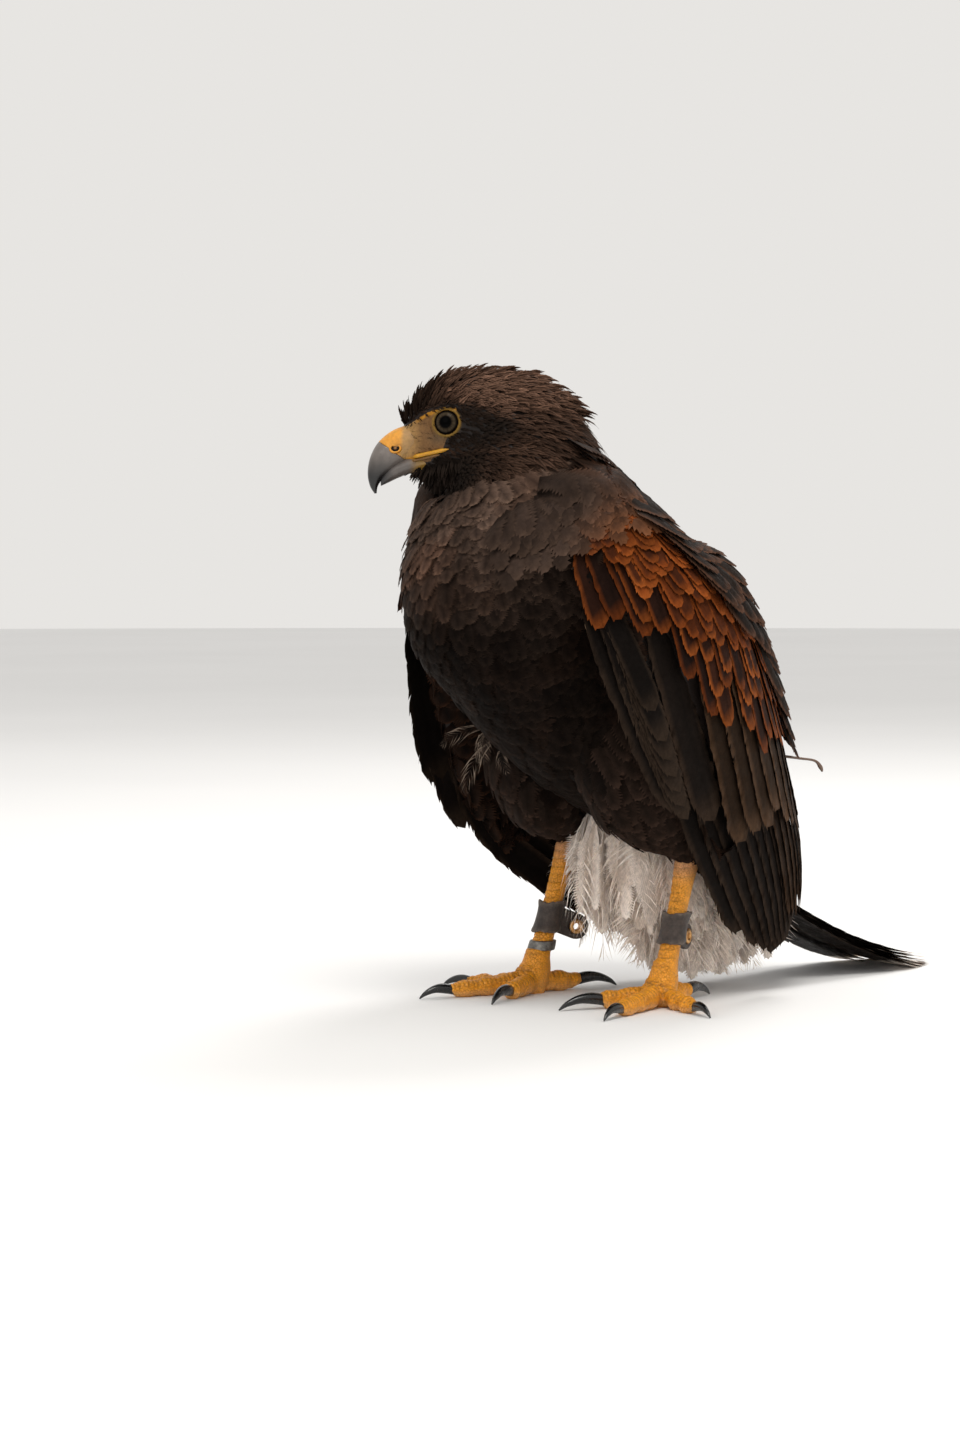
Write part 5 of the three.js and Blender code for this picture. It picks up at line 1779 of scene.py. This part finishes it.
def cloak_shoulder(name):
    """Soft feathers that start on the breast and neck and lie over the front of the folded wing."""
    vane = SOFT
    for back in (0.1, 0.07, 0.04, 0.0):
        n = 26
        across = np.linspace(-0.2, 0.9, n) + 0.02 * chance.standard_normal(n)
        last = steps(across, [-0.2, 0.0, 0.15, 0.28, 0.4, 0.5, 1],
                     [-0.06, -0.015, -0.01, 0.01, 0.05, 0.08, 0.08]) - back
        last = last + 0.015 * chance.standard_normal(n)
        v = vane.v[None, :]
        long = 0.13 + 0.06 * chance.random((n, 1))
        along = mix(last[:, None] - long, last[:, None], v)
        seat = across[:, None] - 0.03 * v
        point, out, over = wing_spot(name, along, seat)
        lift = steps(along, [-0.2, -0.08, 0.0, 0.05, 0.1, 0.15], [-3, 2, 6.5, 10.0, 12.6, 14.5])
        lift = lift * wing_round(seat) + 1.2
        centre = point + out * lift[..., None]
        # Their roots lie down on the feathers of the neck and breast
        down = np.array([OUTLINE.find_nearest(Vector(p))[0] for p in centre.reshape(-1, 3)])
        down = down.reshape(centre.shape)
        laid = (1 - smooth(0.0, 0.8, v))[..., None] * np.ones_like(centre)
        centre = clear_of_body(mix(centre, down, laid), 0.9)
        warm = (smooth(-0.1, 0.06, last) * smooth(0.0, 0.3, across) * 0.75)[:, None]
        base = mix(BREAST * 1.1, paint("553726"), warm) * (1 + 0.25 * mottle(centre[:, 3], 9, 8))[:, None]
        edge = mix(BREAST_EDGE, paint("8a5636"), warm) * np.ones((n, 1))
        dark = (smooth(0.25, 0.75, across) * smooth(0.07, -0.04, last))[:, None]
        base, edge = mix(base, BACK, dark), mix(edge, BACK_EDGE * 0.6, dark)
        tint = feather_tint(vane, base, edge, 0.8, 0.6, 0.07, 0.14)
        bake = bake_spots(centre[:, 0])
        coats_wing[name].add(vane, centre, unit(over) * -SIDES[name], out, 8.0, tint, bake, 0.16, 0.1)


def through(knots, x):
    """A smooth curve through a few knots, for many places at once: knots is knots by places by 3."""
    count = len(knots) - 1
    x = np.clip(x, 0, 1) * count
    i = np.minimum(np.floor(x).astype(int), count - 1)
    k = (x - i)[:, None]
    n = np.arange(knots.shape[1])
    before, here = knots[np.maximum(i - 1, 0), n], knots[i, n]
    there, after = knots[i + 1, n], knots[np.minimum(i + 2, count), n]
    return between(before, here, there, after, k)


def mantle_at(along, across):
    """The sheet of the back and shoulders, from the right wing over the back to the left wing."""
    knots = []
    for name, shares in (("right", (0.5, 0.78, 0.96)), ("left", (0.96, 0.78, 0.5))):
        for share in shares:
            point, out, _ = wing_spot(name, along, np.full_like(along, share))
            lift = steps(along, *ENVELOPE) * wing_round(share) + (4.2 if share < 0.9 else 1.5)
            knots.append(point + out * lift[:, None])
    middle = (knots[2] + knots[3]) / 2
    middle = middle + place(0, 5.0, 1.0) * np.ones((len(along), 1))
    return through(np.array([*knots[:3], middle, *knots[3:]]), (across + 1) / 2)


coat_mantle = Coat("coat_mantle", FLIGHT, ["torso"], "brown_plumage")


def dress_mantle():
    vane = MANTLE
    flat = lambda s, t: mantle_at(s.ravel(), t.ravel()).reshape(*s.shape, 3)
    sheet = table_of(flat, (-0.08, -1.0), (0.72, 1.0), (60, 80))
    row = 0
    tip = 0.07
    while tip < 0.66:
        reach = steps(tip, [0, 0.1, 0.22, 0.32, 0.42, 0.55, 0.66], [0.75, 0.97, 0.98, 0.88, 0.75, 0.68, 0.62])
        n = 21
        seat = np.linspace(-reach, reach, n) + 0.02 * chance.standard_normal(n) + (0.4 / n) * (row % 2)
        ends = tip + 0.012 * chance.standard_normal(n)
        if tip > 0.5:
            keep = np.abs(seat) > 0.3
            seat, ends = seat[keep], ends[keep]
            n = len(seat)
        v = vane.v[None, :]
        long = 0.13
        along = mix((ends - long)[:, None], ends[:, None], v) * np.ones((n, len(vane.v)))
        across = seat[:, None] + np.sign(seat)[:, None] * 0.02 * v
        centre = sheet(along, across)
        side = unit(sheet(along, across + 0.03) - sheet(along, across - 0.03))
        down = unit(sheet(along + 0.03, across) - sheet(along - 0.03, across))
        normal = unit(np.cross(side, down))
        tint = feather_tint(vane, repeated(BACK, n), repeated(BACK_EDGE, n), 0.7, 0.6, 0.06, 0.14)
        tint = tint * shaded_shaft(vane)[None, :, None]
        centre = centre + normal * mix(-4.0, 1.6, v)[..., None]
        coat_mantle.add(vane, centre, side, normal, 8.5, tint, bake_spots(centre[:, 0]), 0.22, 0.05, 0.3)
        tip += 0.036
        row += 1


def tail_feather(vane, distance, aside, rise, half, tint, *form):
    """One feather along the tail, moved aside and raised above its middle line."""
    point, normal = tail_spot(distance)
    centre = point + np.stack([aside, 0 * aside, 0 * aside], -1) + normal * rise
    side_way = np.tile([1.0, 0, 0], (*centre.shape[:2], 1))
    coat_tail.add(vane, centre, side_way, normal, half, tint, bake_spots(centre[:, 0]), *form)


def dress_tail():
    vane = FLIGHT_VANE
    for pair in range(TAIL["pairs"]):
        for side in SIDES.values():
            fan = math.radians(0.4 + 0.62 * pair)
            long = TAIL["length"] * (1 - 0.004 * pair * pair)
            distance = long * vane.v[None, :]
            aside = side * (1.5 + 1.2 * pair + math.sin(fan) * distance)
            sink = 0.8 + pair * 1.7 + (0.85 if side < 0 else 0)
            tint = feather_tint(vane, np.array([BLACK]), np.array([BLACK_EDGE]), 0.6, 0.9, 0.06, 0.06)
            wave = 0.012 * chance.standard_normal(len(vane.v))
            white = np.maximum(smooth(0.885, 0.915, vane.v + wave), smooth(0.3, 0.24, vane.v + wave))
            buff = smooth(0.95, 0.99, vane.v + wave)
            tail_white = mix(WHITE[None, :], BUFF[None, :], buff[:, None] * 0.6)
            tint = mix(tint, tail_white[None], white[None, :, None])
            tail_feather(vane, distance, aside, -sink, TAIL["half_width"] - 0.5, tint, 0.04, 0.05, 0.4)
    vane = COVERT
    for start, reach, lift, n in ((26, 92, 3.6, 6), (12, 66, 6.6, 6), (0, 44, 8.6, 5)):
        for i in range(n):
            share = i - (n - 1) / 2
            distance = mix(start, reach - 3 * abs(share), vane.v)[None, :]
            aside = share * (5 + 1.5 * vane.v[None, :])
            rise = lift - 0.25 * share * share - 1.0 * vane.v[None, :]
            tint = feather_tint(vane, np.array([WHITE_ROOT]), np.array([WHITE]), 0.8, 0.8, 0.05, 0.06)
            tail_feather(vane, distance, aside, rise[..., None], 8, tint, 0.2, 0.06, 0.2)


# Details of the face


def make_eyes():
    for name, side in SIDES.items():
        rings, sides = 72, 64
        angle = np.linspace(0, math.pi, rings)
        axis = gaze(side)
        first = unit(np.cross(axis, [0, 0, 1.0]))
        second = np.cross(axis, first)
        turn = full_turn(sides)
        circle = np.cos(turn)[None, :, None] * first + np.sin(turn)[None, :, None] * second
        radius = EYE["radius"] * np.where(angle < 0.75, 1 + 0.02 * np.cos(angle / 0.75 * math.pi / 2), 1)
        form = eye_centre(side) + (np.cos(angle) * radius)[:, None, None] * axis
        form = form + np.maximum(np.sin(angle) * radius, 0.01)[:, None, None] * circle
        off_axis = np.sin(angle) * EYE["radius"]
        rays = 1 + 0.25 * np.sin(turn * 23 + 3 * np.sin(turn * 5))
        iris = mix(paint("17110c"), paint("3a3125"), smooth(2.8, 4.2, off_axis)[:, None])
        iris = mix(iris, paint("0c0806"), smooth(4.6, 5.4, off_axis)[:, None])
        iris = mix(repeated(paint("010101"), rings), iris, smooth(2.8, 3.1, off_axis)[:, None])
        iris[off_axis > 5.6] = paint("0a0706")
        iris[angle > 1.2] = paint("0a0706")
        tint = iris[:, None, :] * np.where(off_axis[:, None] > 2.7, rays[None, :], 1)[..., None]
        new_solid(f"eyeball_{name}", form, tint.reshape(-1, 3), WET_EYE, [f"eye_{name}"])


def bill_gradient(points):
    forward, _, up = head_place(points)
    tip = smooth(-15, -30, up)
    pale, dark = paint("7c736d"), paint("0b0b0c")
    side = smooth(54, 62, forward) * 0.45
    return mix(mix(pale, paint("4a4644"), side[:, None]), dark, tip[:, None])


def trimmed(name, rings, normal, offset, tint, material, nodes):
    """A closed form of which only the part beyond a plane is kept."""
    points, quads, ends = closed(rings)
    mesh = new_mesh(name, points, [quads, ends])
    shape = bmesh.new()
    shape.from_mesh(mesh)
    where = Vector(metres(normal * offset))
    geometry = shape.verts[:] + shape.edges[:] + shape.faces[:]
    cut = bmesh.ops.bisect_plane(shape, geom=geometry, plane_co=where, plane_no=Vector(normal),
                                 clear_inner=True)
    edges = [e for e in cut["geom_cut"] if isinstance(e, bmesh.types.BMEdge)]
    if edges:
        bmesh.ops.holes_fill(shape, edges=edges)
    shape.to_mesh(mesh)
    shape.free()
    shade_smoothly(mesh)
    set_tint(mesh, tint(mesh_points(mesh)))
    new_object(name, mesh, material, nodes)


def make_bill():
    lean = math.radians(CERE_END["lean"])
    normal = unit(head_direction(math.cos(lean), 0, -math.sin(lean)))
    offset = float(normal @ head_point(CERE_END["forward"], 0, CERE_END["up"]))

    def cere_tint(points):
        forward, _, up = head_place(points)
        yellow = smooth(49.6, 51.6, forward + 0.12 * (up + 14)) * smooth(-20, -17, up)
        colour = mix(face_tan(forward), ORANGE, yellow[:, None])
        near = np.exp(-(((forward - 52) / 2.0) ** 2 + ((up + 13.4) / 1.6) ** 2))
        return mix(colour, paint("5a3a14"), (0.6 * near)[:, None])

    trimmed("cere_skin", bill_form(60, 40), -normal, -offset + 0.1, cere_tint, WAXY, ["cere"])
    trimmed("bill_tip", bill_form(70, 40), normal, offset + 0.1, bill_gradient, BILL_HORN,
            ["bill_upper"])
    below = lower_bill_form(30, 28)
    forward = head_place(below.reshape(-1, 3))[0][:, None]
    colour = mix(paint("94702f"), paint("5c5551"), smooth(40, 47, forward))
    colour = mix(colour, paint("1a191b"), smooth(52, 60, forward))
    new_solid("bill_below", below, colour, BILL_HORN, ["bill_lower"])
    for name, side in SIDES.items():
        make_nostril(name, side)


def tube(rows, count, sides):
    """Rows are points in raw coordinates and a radius."""
    rows = np.array(rows, float)
    rows[:, 1] *= -1
    return limb(rows, count, sides)


def bill_side(forward, up):
    """How far the side of the bill is from its middle plane."""
    rows = row_at(BILL_ROWS, np.linspace(0, 1, 200))
    i = int(np.argmin(np.abs(rows[:, 0] - forward) + np.where(rows[:, 1] < -26, 100, 0)))
    reach = rows[i, 4] if up > rows[i, 1] else rows[i, 5]
    share = np.clip((up - rows[i, 1]) / reach, -0.98, 0.98)
    return rows[i, 3] * math.sqrt(1 - share * share)


def make_nostril(name, side):
    forward, up = NOSTRIL["forward"], NOSTRIL["up"]
    centre = head_point(forward, side * bill_side(forward, up), up)
    out = unit(head_direction(0.12, side, 0.3))
    first = unit(np.cross(out, [0, 0, 1.0]))
    second = np.cross(out, first)
    turn = full_turn(28)
    around = np.cos(turn)[:, None] * first * 1.25 + np.sin(turn)[:, None] * second
    rim = [(2.7, -0.6), (2.45, 0.4), (2.1, 0.62), (1.8, 0.5), (1.7, 0.2), (1.7, -0.6)]
    # The hole is a black dome: painted shade where the nostril opens
    parts = (("rim", rim, ORANGE, WAXY),
             ("hole", [(1.8, -0.5), (1.75, 0.3), (0.05, 0.32)], paint("060302"), BIRD_SKIN),
             ("knob", [(0.75, 0.2), (0.6, 0.5), (0.1, 0.62)], paint("80541c"), WAXY))
    for part, profile, colour, material in parts:
        form = np.array([centre + around * radius + out * height for radius, height in profile])
        new_solid(f"nostril_{part}_{name}", form, colour, material, ["cere"])


def on_skin(forward, aside, up):
    """The skin's places nearest to those in the head's frame."""
    return SURFACE.nearest(head_point(forward, aside, up))[0]


def make_mouth():
    """The soft yellow edges of the mouth, above and below its line."""
    for name, side in SIDES.items():
        parts = (("upper", 0.7, 26.5, 49.5, 1.0), ("lower", -1.2, 31, 46, 0.7))
        for part, drop, first, last, radius in parts:
            forward = np.linspace(first, last, 14)
            up = mouth_line(forward) + drop
            where = on_skin(forward, side * np.linspace(18, 8, 14), up)
            bill = np.array([bill_side(max(f, 38.0), u) for f, u in zip(forward, up)])
            reach = np.where(forward > 44, bill, np.abs(head_place(where)[1]))
            where = head_point(forward, side * np.maximum(reach, 3) + side * 0.35, up)
            size = radius * np.clip(2.2 * np.sin(math.pi * np.linspace(0.03, 0.97, 14)), 0.1, 1)
            form = tube(np.concatenate([where, size[:, None]], 1), 40, 12)
            shade = paint("c08a1c") if part == "upper" else paint("6e4c1a")
            new_solid(f"gape_{part}_{name}", form, shade, WAXY, ["head"])


def make_bristles():
    """Thin black bristles on lores and chin."""
    coat = Coat("coat_bristles", FEATHER, ["head"], "brown_plumage")
    points, normals, faces = scattered(BRISTLE_CANDIDATES)
    forward, aside, up = head_place(points)
    lores = bare_face(points) & (forward > 29) & (forward < 50) & (up > mouth_line(forward) + 2)
    lores &= (np.abs(aside) > 4)
    chin = (forward > 22) & (forward < 44) & (up < mouth_line(forward) - 4)
    kinds = ((lores, 4.2, 0.5, 70, -0.5, 0.1), (chin, 8, 3.2, 150, -0.35, 0.22))
    for mask, length, lift, count, rise, half in kinds:
        numbers = np.nonzero(mask)[0][:count]
        p, n = points[numbers], normals[numbers]
        away = head_direction(-1.0, 0.25 * np.sign(aside[numbers]), rise)
        lie = unit(away - dot(away, n) * n)
        base = repeated(FACE_BLACK, len(p))
        tint = feather_tint(BRISTLE, base, base * 1.4, 0.5, 0.8, 0.05, 0.1)
        hug(coat, BRISTLE, p, n, faces[numbers], lie, length, half, lift, tint, 0.1, 0.3, 0.25, 0.1)
    return coat


# Legs


def make_leg(name):
    forms = [palm_form(name), limb(shank_rows(name), 40, 28)]
    forms += [toe_form(name, toe) for toe in TOES]
    mesh = remeshed(f"leg_{name}", forms, LEG_VOXEL, 3)
    points, normals = mesh_points(mesh), mesh_normals(mesh)
    foot = FEET[name]
    raised = np.zeros(len(points))
    shade = np.ones(len(points))
    centre = np.array(toe_point(name, "middle", 0, 0))
    flat = np.stack([points[:, 0] - centre[0], -points[:, 1] - centre[1]], -1)
    for toe in TOES:
        heading = toe_heading(name, toe)
        way = np.array([math.sin(heading), math.cos(heading)])
        distance = flat @ way
        off = np.abs(flat @ np.array([way[1], -way[0]]))
        on_toe = (distance > 7) & (off < 7) & (points[:, 2] < 22)
        top = smooth(0.15, 0.6, normals[:, 2])
        phase = (distance / TOE_SCUTE) % 1.0
        scute = smooth(0.0, 0.25, phase) * (1 - smooth(0.8, 1.0, phase))
        knuckle = 0.5 + 0.5 * np.cos(2 * math.pi * (distance - 5) / KNUCKLE_SPACING)
        raised += np.where(on_toe, top * (0.62 * scute - 0.3) + 1.1 * knuckle - 0.5, 0)
        # Painted shade in the grooves between the scutes on top of the toes
        shade = np.where(on_toe, shade * (1 - 0.45 * top * (1 - scute)), shade)
    on_shank = points[:, 2] > 20
    front = smooth(0.1, 0.7, -normals[:, 1])
    phase = (points[:, 2] / SHANK_SCUTE) % 1.0
    scute = smooth(0.0, 0.18, phase) * (1 - smooth(0.86, 1.0, phase))
    raised += np.where(on_shank, front * (0.4 * scute - 0.2), 0)
    # Painted shade in the grooves between the scutes on the front of the shank
    shade = np.where(on_shank, shade * (1 - 0.28 * front * (1 - scute)), shade)
    points = points + normals * raised[:, None]
    points[:, 2] = np.maximum(points[:, 2], 0)
    set_points(mesh, points)
    pale = smooth(0.2, -0.7, normals[:, 2])[:, None]
    top_pale = smooth(foot["hock"][2] - 18, foot["hock"][2] - 4, points[:, 2])[:, None]
    tint = mix(repeated(LEG_YELLOW, len(points)), LEG_PALE, 0.6 * pale)
    tint = mix(tint, paint("c99a80"), 0.6 * top_pale) * shade[:, None]
    set_tint(mesh, tint)
    shade_smoothly(mesh)
    new_object(f"leg_{name}", mesh, SCALY, [f"shank_{name}", f"foot_{name}"])
    for toe in TOES:
        claw = claw_form(name, toe)
        claw[..., 2] = np.maximum(claw[..., 2], 0.05)
        new_solid(f"talon_{toe}_{name}", claw, paint("0b0b0d"), CLAW_HORN, [f"claw_{toe}_{name}"])


def band_rings(name, up, height, wall, flare, rough_edge, sides=72):
    """A band with an inner and an outer wall, and edges that wander a little."""
    rings = []
    turn = full_turn(sides)
    wander = np.sin(turn * 3 + 1) + 0.6 * np.sin(turn * 7 + 2) + 0.5 * chance.standard_normal(sides)
    wander = rough_edge * wander
    # Share of the height, share of the wall's thickness and share of the flare
    profile = [(0, 0.06, 0), (0.03, 1, 1), (0.16, 1, 0.15), (0.5, 1.08, 0), (0.84, 1, 0.15), (0.97, 1, 1),
               (1, 0.06, 1), (0.84, 0, 0.1), (0.5, 0, 0), (0.16, 0, 0.1)]
    for share, thick, wide in profile:
        left, forward, level, radius = shank_at(name, up + height * share)
        reach = radius + GAP + wall * thick + flare * wide
        edge = wander * (abs(share - 0.5) * 2) ** 4 * (1 if share > 0.5 else -1)
        ring = place(left + np.cos(turn) * reach, forward + np.sin(turn) * reach, level + edge)
        rings.append(ring)
    return np.array(rings)


def new_hoop(name, rings, tint, material, nodes):
    """A tube that closes on itself: the last ring joins the first."""
    count, sides = rings.shape[:2]
    i, j = np.meshgrid(np.arange(count), np.arange(sides), indexing="ij")
    k, m = (j + 1) % sides, (i + 1) % count
    quads = np.stack([i * sides + j, i * sides + k, m * sides + k, m * sides + j], -1).reshape(-1, 4)
    points = rings.reshape(-1, 3)
    if volume(points, quads, np.zeros((0, 3), int)) < 0:
        quads = quads[:, ::-1]
    return new_object(name, new_mesh(name, points, [quads], tint), material, nodes)


def behind_shank(name, points):
    """From a flat form in X and Z to its place behind the shank."""
    left, forward, level, _ = shank_at(name, ANKLET["up"] + ANKLET["height"] / 2)
    turn = Matrix.Rotation(math.radians(112 if SIDES[name] > 0 else 62), 3, "Z")
    turn = turn @ Matrix.Rotation(math.radians(ANKLET["sag"]), 3, "Y")
    return points @ np.array(turn).T + place(left, forward, level)


def make_anklet(name):
    nodes = [f"anklet_{name}"]
    rings = band_rings(name, ANKLET["up"], ANKLET["height"], ANKLET["wall"], ANKLET["flare"], 0.45)
    level = shank_at(name, ANKLET["up"] + ANKLET["height"] / 2)[2]
    edge = smooth(5.5, 8.5, np.abs(rings.reshape(-1, 3)[:, 2] - level))[:, None]
    tint = mix(paint("4a3d36"), paint("8a7a6c"), 0.55 * edge)
    made_finer(new_hoop(f"cuff_{name}", rings, tint, LEATHER, nodes))
    half = ANKLET["tab_height"] / 2
    end = ANKLET["tab"] - half + 2
    turn = np.linspace(-math.pi / 2, math.pi / 2, 24)
    outline = [(2, -half)] + [(x, -half) for x in np.linspace(5, end - 1, 5)]
    outline += [(end + half * math.cos(a), half * math.sin(a)) for a in turn]
    outline += [(x, half) for x in np.linspace(end - 1, 5, 5)] + [(2, half)]
    outline = np.array(outline)
    inner = np.array([end, 0]) + 2.9 * unit(outline - [end, 0])
    depth = ANKLET["wall"]
    front = [(0, -1), (0.5, -1.1), (0.93, -1), (1, -0.55)]
    layers = []
    for share, y in front + [(share, -y) for share, y in front[::-1]]:
        ring = mix(inner, outline, share)
        layers.append(np.stack([ring[:, 0], np.full(len(ring), y * depth), ring[:, 1]], -1))
    form = behind_shank(name, np.array(layers).reshape(-1, 3)).reshape(len(layers), -1, 3)
    tint = repeated(paint("463a33"), form[..., 0].size)
    made_finer(new_hoop(f"tab_{name}", form, tint, LEATHER, nodes))
    face, top = depth + 0.15, depth + 0.75
    lower_half = [(1.9, -top), (2.4, -top - 0.25), (3.7, -top - 0.1), (4.3, -face), (2.7, -face)]
    profile = [(1.9, top)] + lower_half + [(r, -h) for r, h in lower_half[:0:-1]]
    turn = full_turn(40)
    form = np.array([np.stack([end + r * np.cos(turn), np.full(40, h), r * np.sin(turn)], -1)
                     for r, h in profile])
    form = behind_shank(name, form.reshape(-1, 3)).reshape(form.shape)
    new_hoop(f"brass_eyelet_{name}", form, None, BRASS, [f"eyelet_{name}"])


def make_ring():
    rings = band_rings("right", RING["up"], RING["height"], RING["wall"], 0, 0.0)
    made_finer(new_hoop("metal_ring", rings, None, RING_METAL, ["leg_ring"]))


clothe_head()
raise_head_feathers()
clothe_body()
clothe_thighs()
clothe_vent()
loose_hairs()
for side_name in SIDES:
    dress_wing(side_name)
    cloak_shoulder(side_name)
clothe_wing_flesh()
dress_mantle()
dress_tail()
bristles = make_bristles()
coats = [coat_head, coat_body, coat_thighs, coat_white, coat_mantle, coat_tail, bristles]
for coat in coats + list(coats_wing.values()):
    coat.make()
make_eyes()
make_bill()
make_mouth()
for side_name in SIDES:
    make_leg(side_name)
    make_anklet(side_name)
make_ring()


# Stage, light and camera

CAMERA = {"azimuth": 48, "pitch": 2.8, "distance": 1800, "aim_left": -66, "aim_up": 148, "pixel": 0.53,
          "height": 1440}


def make_camera():
    azimuth, pitch = math.radians(CAMERA["azimuth"]), math.radians(CAMERA["pitch"])
    right = np.array([math.cos(azimuth), math.sin(azimuth), 0])
    level = math.cos(pitch)
    back = np.array([math.sin(azimuth) * level, -math.cos(azimuth) * level, math.sin(pitch)])
    up = np.cross(back, right)
    aim = right * CAMERA["aim_left"] + np.array([0, 0, CAMERA["aim_up"]])
    data = bpy.data.cameras.new("camera")
    half = CAMERA["height"] * CAMERA["pixel"] / 2 / CAMERA["distance"]
    data.lens = data.sensor_width / 2 / half
    data.clip_start = 0.05
    camera = bpy.data.objects.new("camera", data)
    bpy.context.scene.collection.objects.link(camera)
    turn = Matrix((right, up, back)).transposed().to_4x4()
    camera.matrix_world = Matrix.Translation(Vector(metres(aim + back * CAMERA["distance"]))) @ turn
    bpy.context.scene.camera = camera


def make_light(name, where, size, power, colour):
    data = bpy.data.lights.new(name, "AREA")
    data.shape = "DISK"
    data.size = size
    data.energy = power
    data.color = colour
    light = bpy.data.objects.new(name, data)
    bpy.context.scene.collection.objects.link(light)
    light.location = where
    aim = Vector((0, 0, 0.18)) - Vector(where)
    light.rotation_euler = aim.to_track_quat("-Z", "Y").to_euler()


def make_stage():
    mesh = bpy.data.meshes.new("floor")
    shape = bmesh.new()
    bmesh.ops.create_circle(shape, cap_ends=True, segments=96, radius=9)
    shape.to_mesh(mesh)
    shape.free()
    s = Shader("pale_floor", Roughness=0.9)
    s.colour(s.blended((0.78, 0.78, 0.78), (0.84, 0.84, 0.84), s.noise(1.5, 2)))
    mesh.materials.append(s.material)
    floor = bpy.data.objects.new("floor", mesh)
    bpy.context.scene.collection.objects.link(floor)
    world = bpy.data.worlds.new("studio")
    bpy.context.scene.world = world
    world.use_nodes = True
    background = world.node_tree.nodes["Background"]
    background.inputs["Color"].default_value = (1.0, 0.98, 0.95, 1)
    background.inputs["Strength"].default_value = 0.8
    bpy.context.scene.view_settings.view_transform = "Standard"


make_camera()
make_light("key", (0.9, -0.7, 2.3), 1.0, 26, (1.0, 0.97, 0.92))
make_light("front", (0.6, -1.7, 1.0), 1.2, 2.5, (1.0, 0.95, 0.9))
make_light("rim", (-0.6, 1.3, 1.9), 0.9, 20, (1.0, 0.98, 0.96))
make_stage()
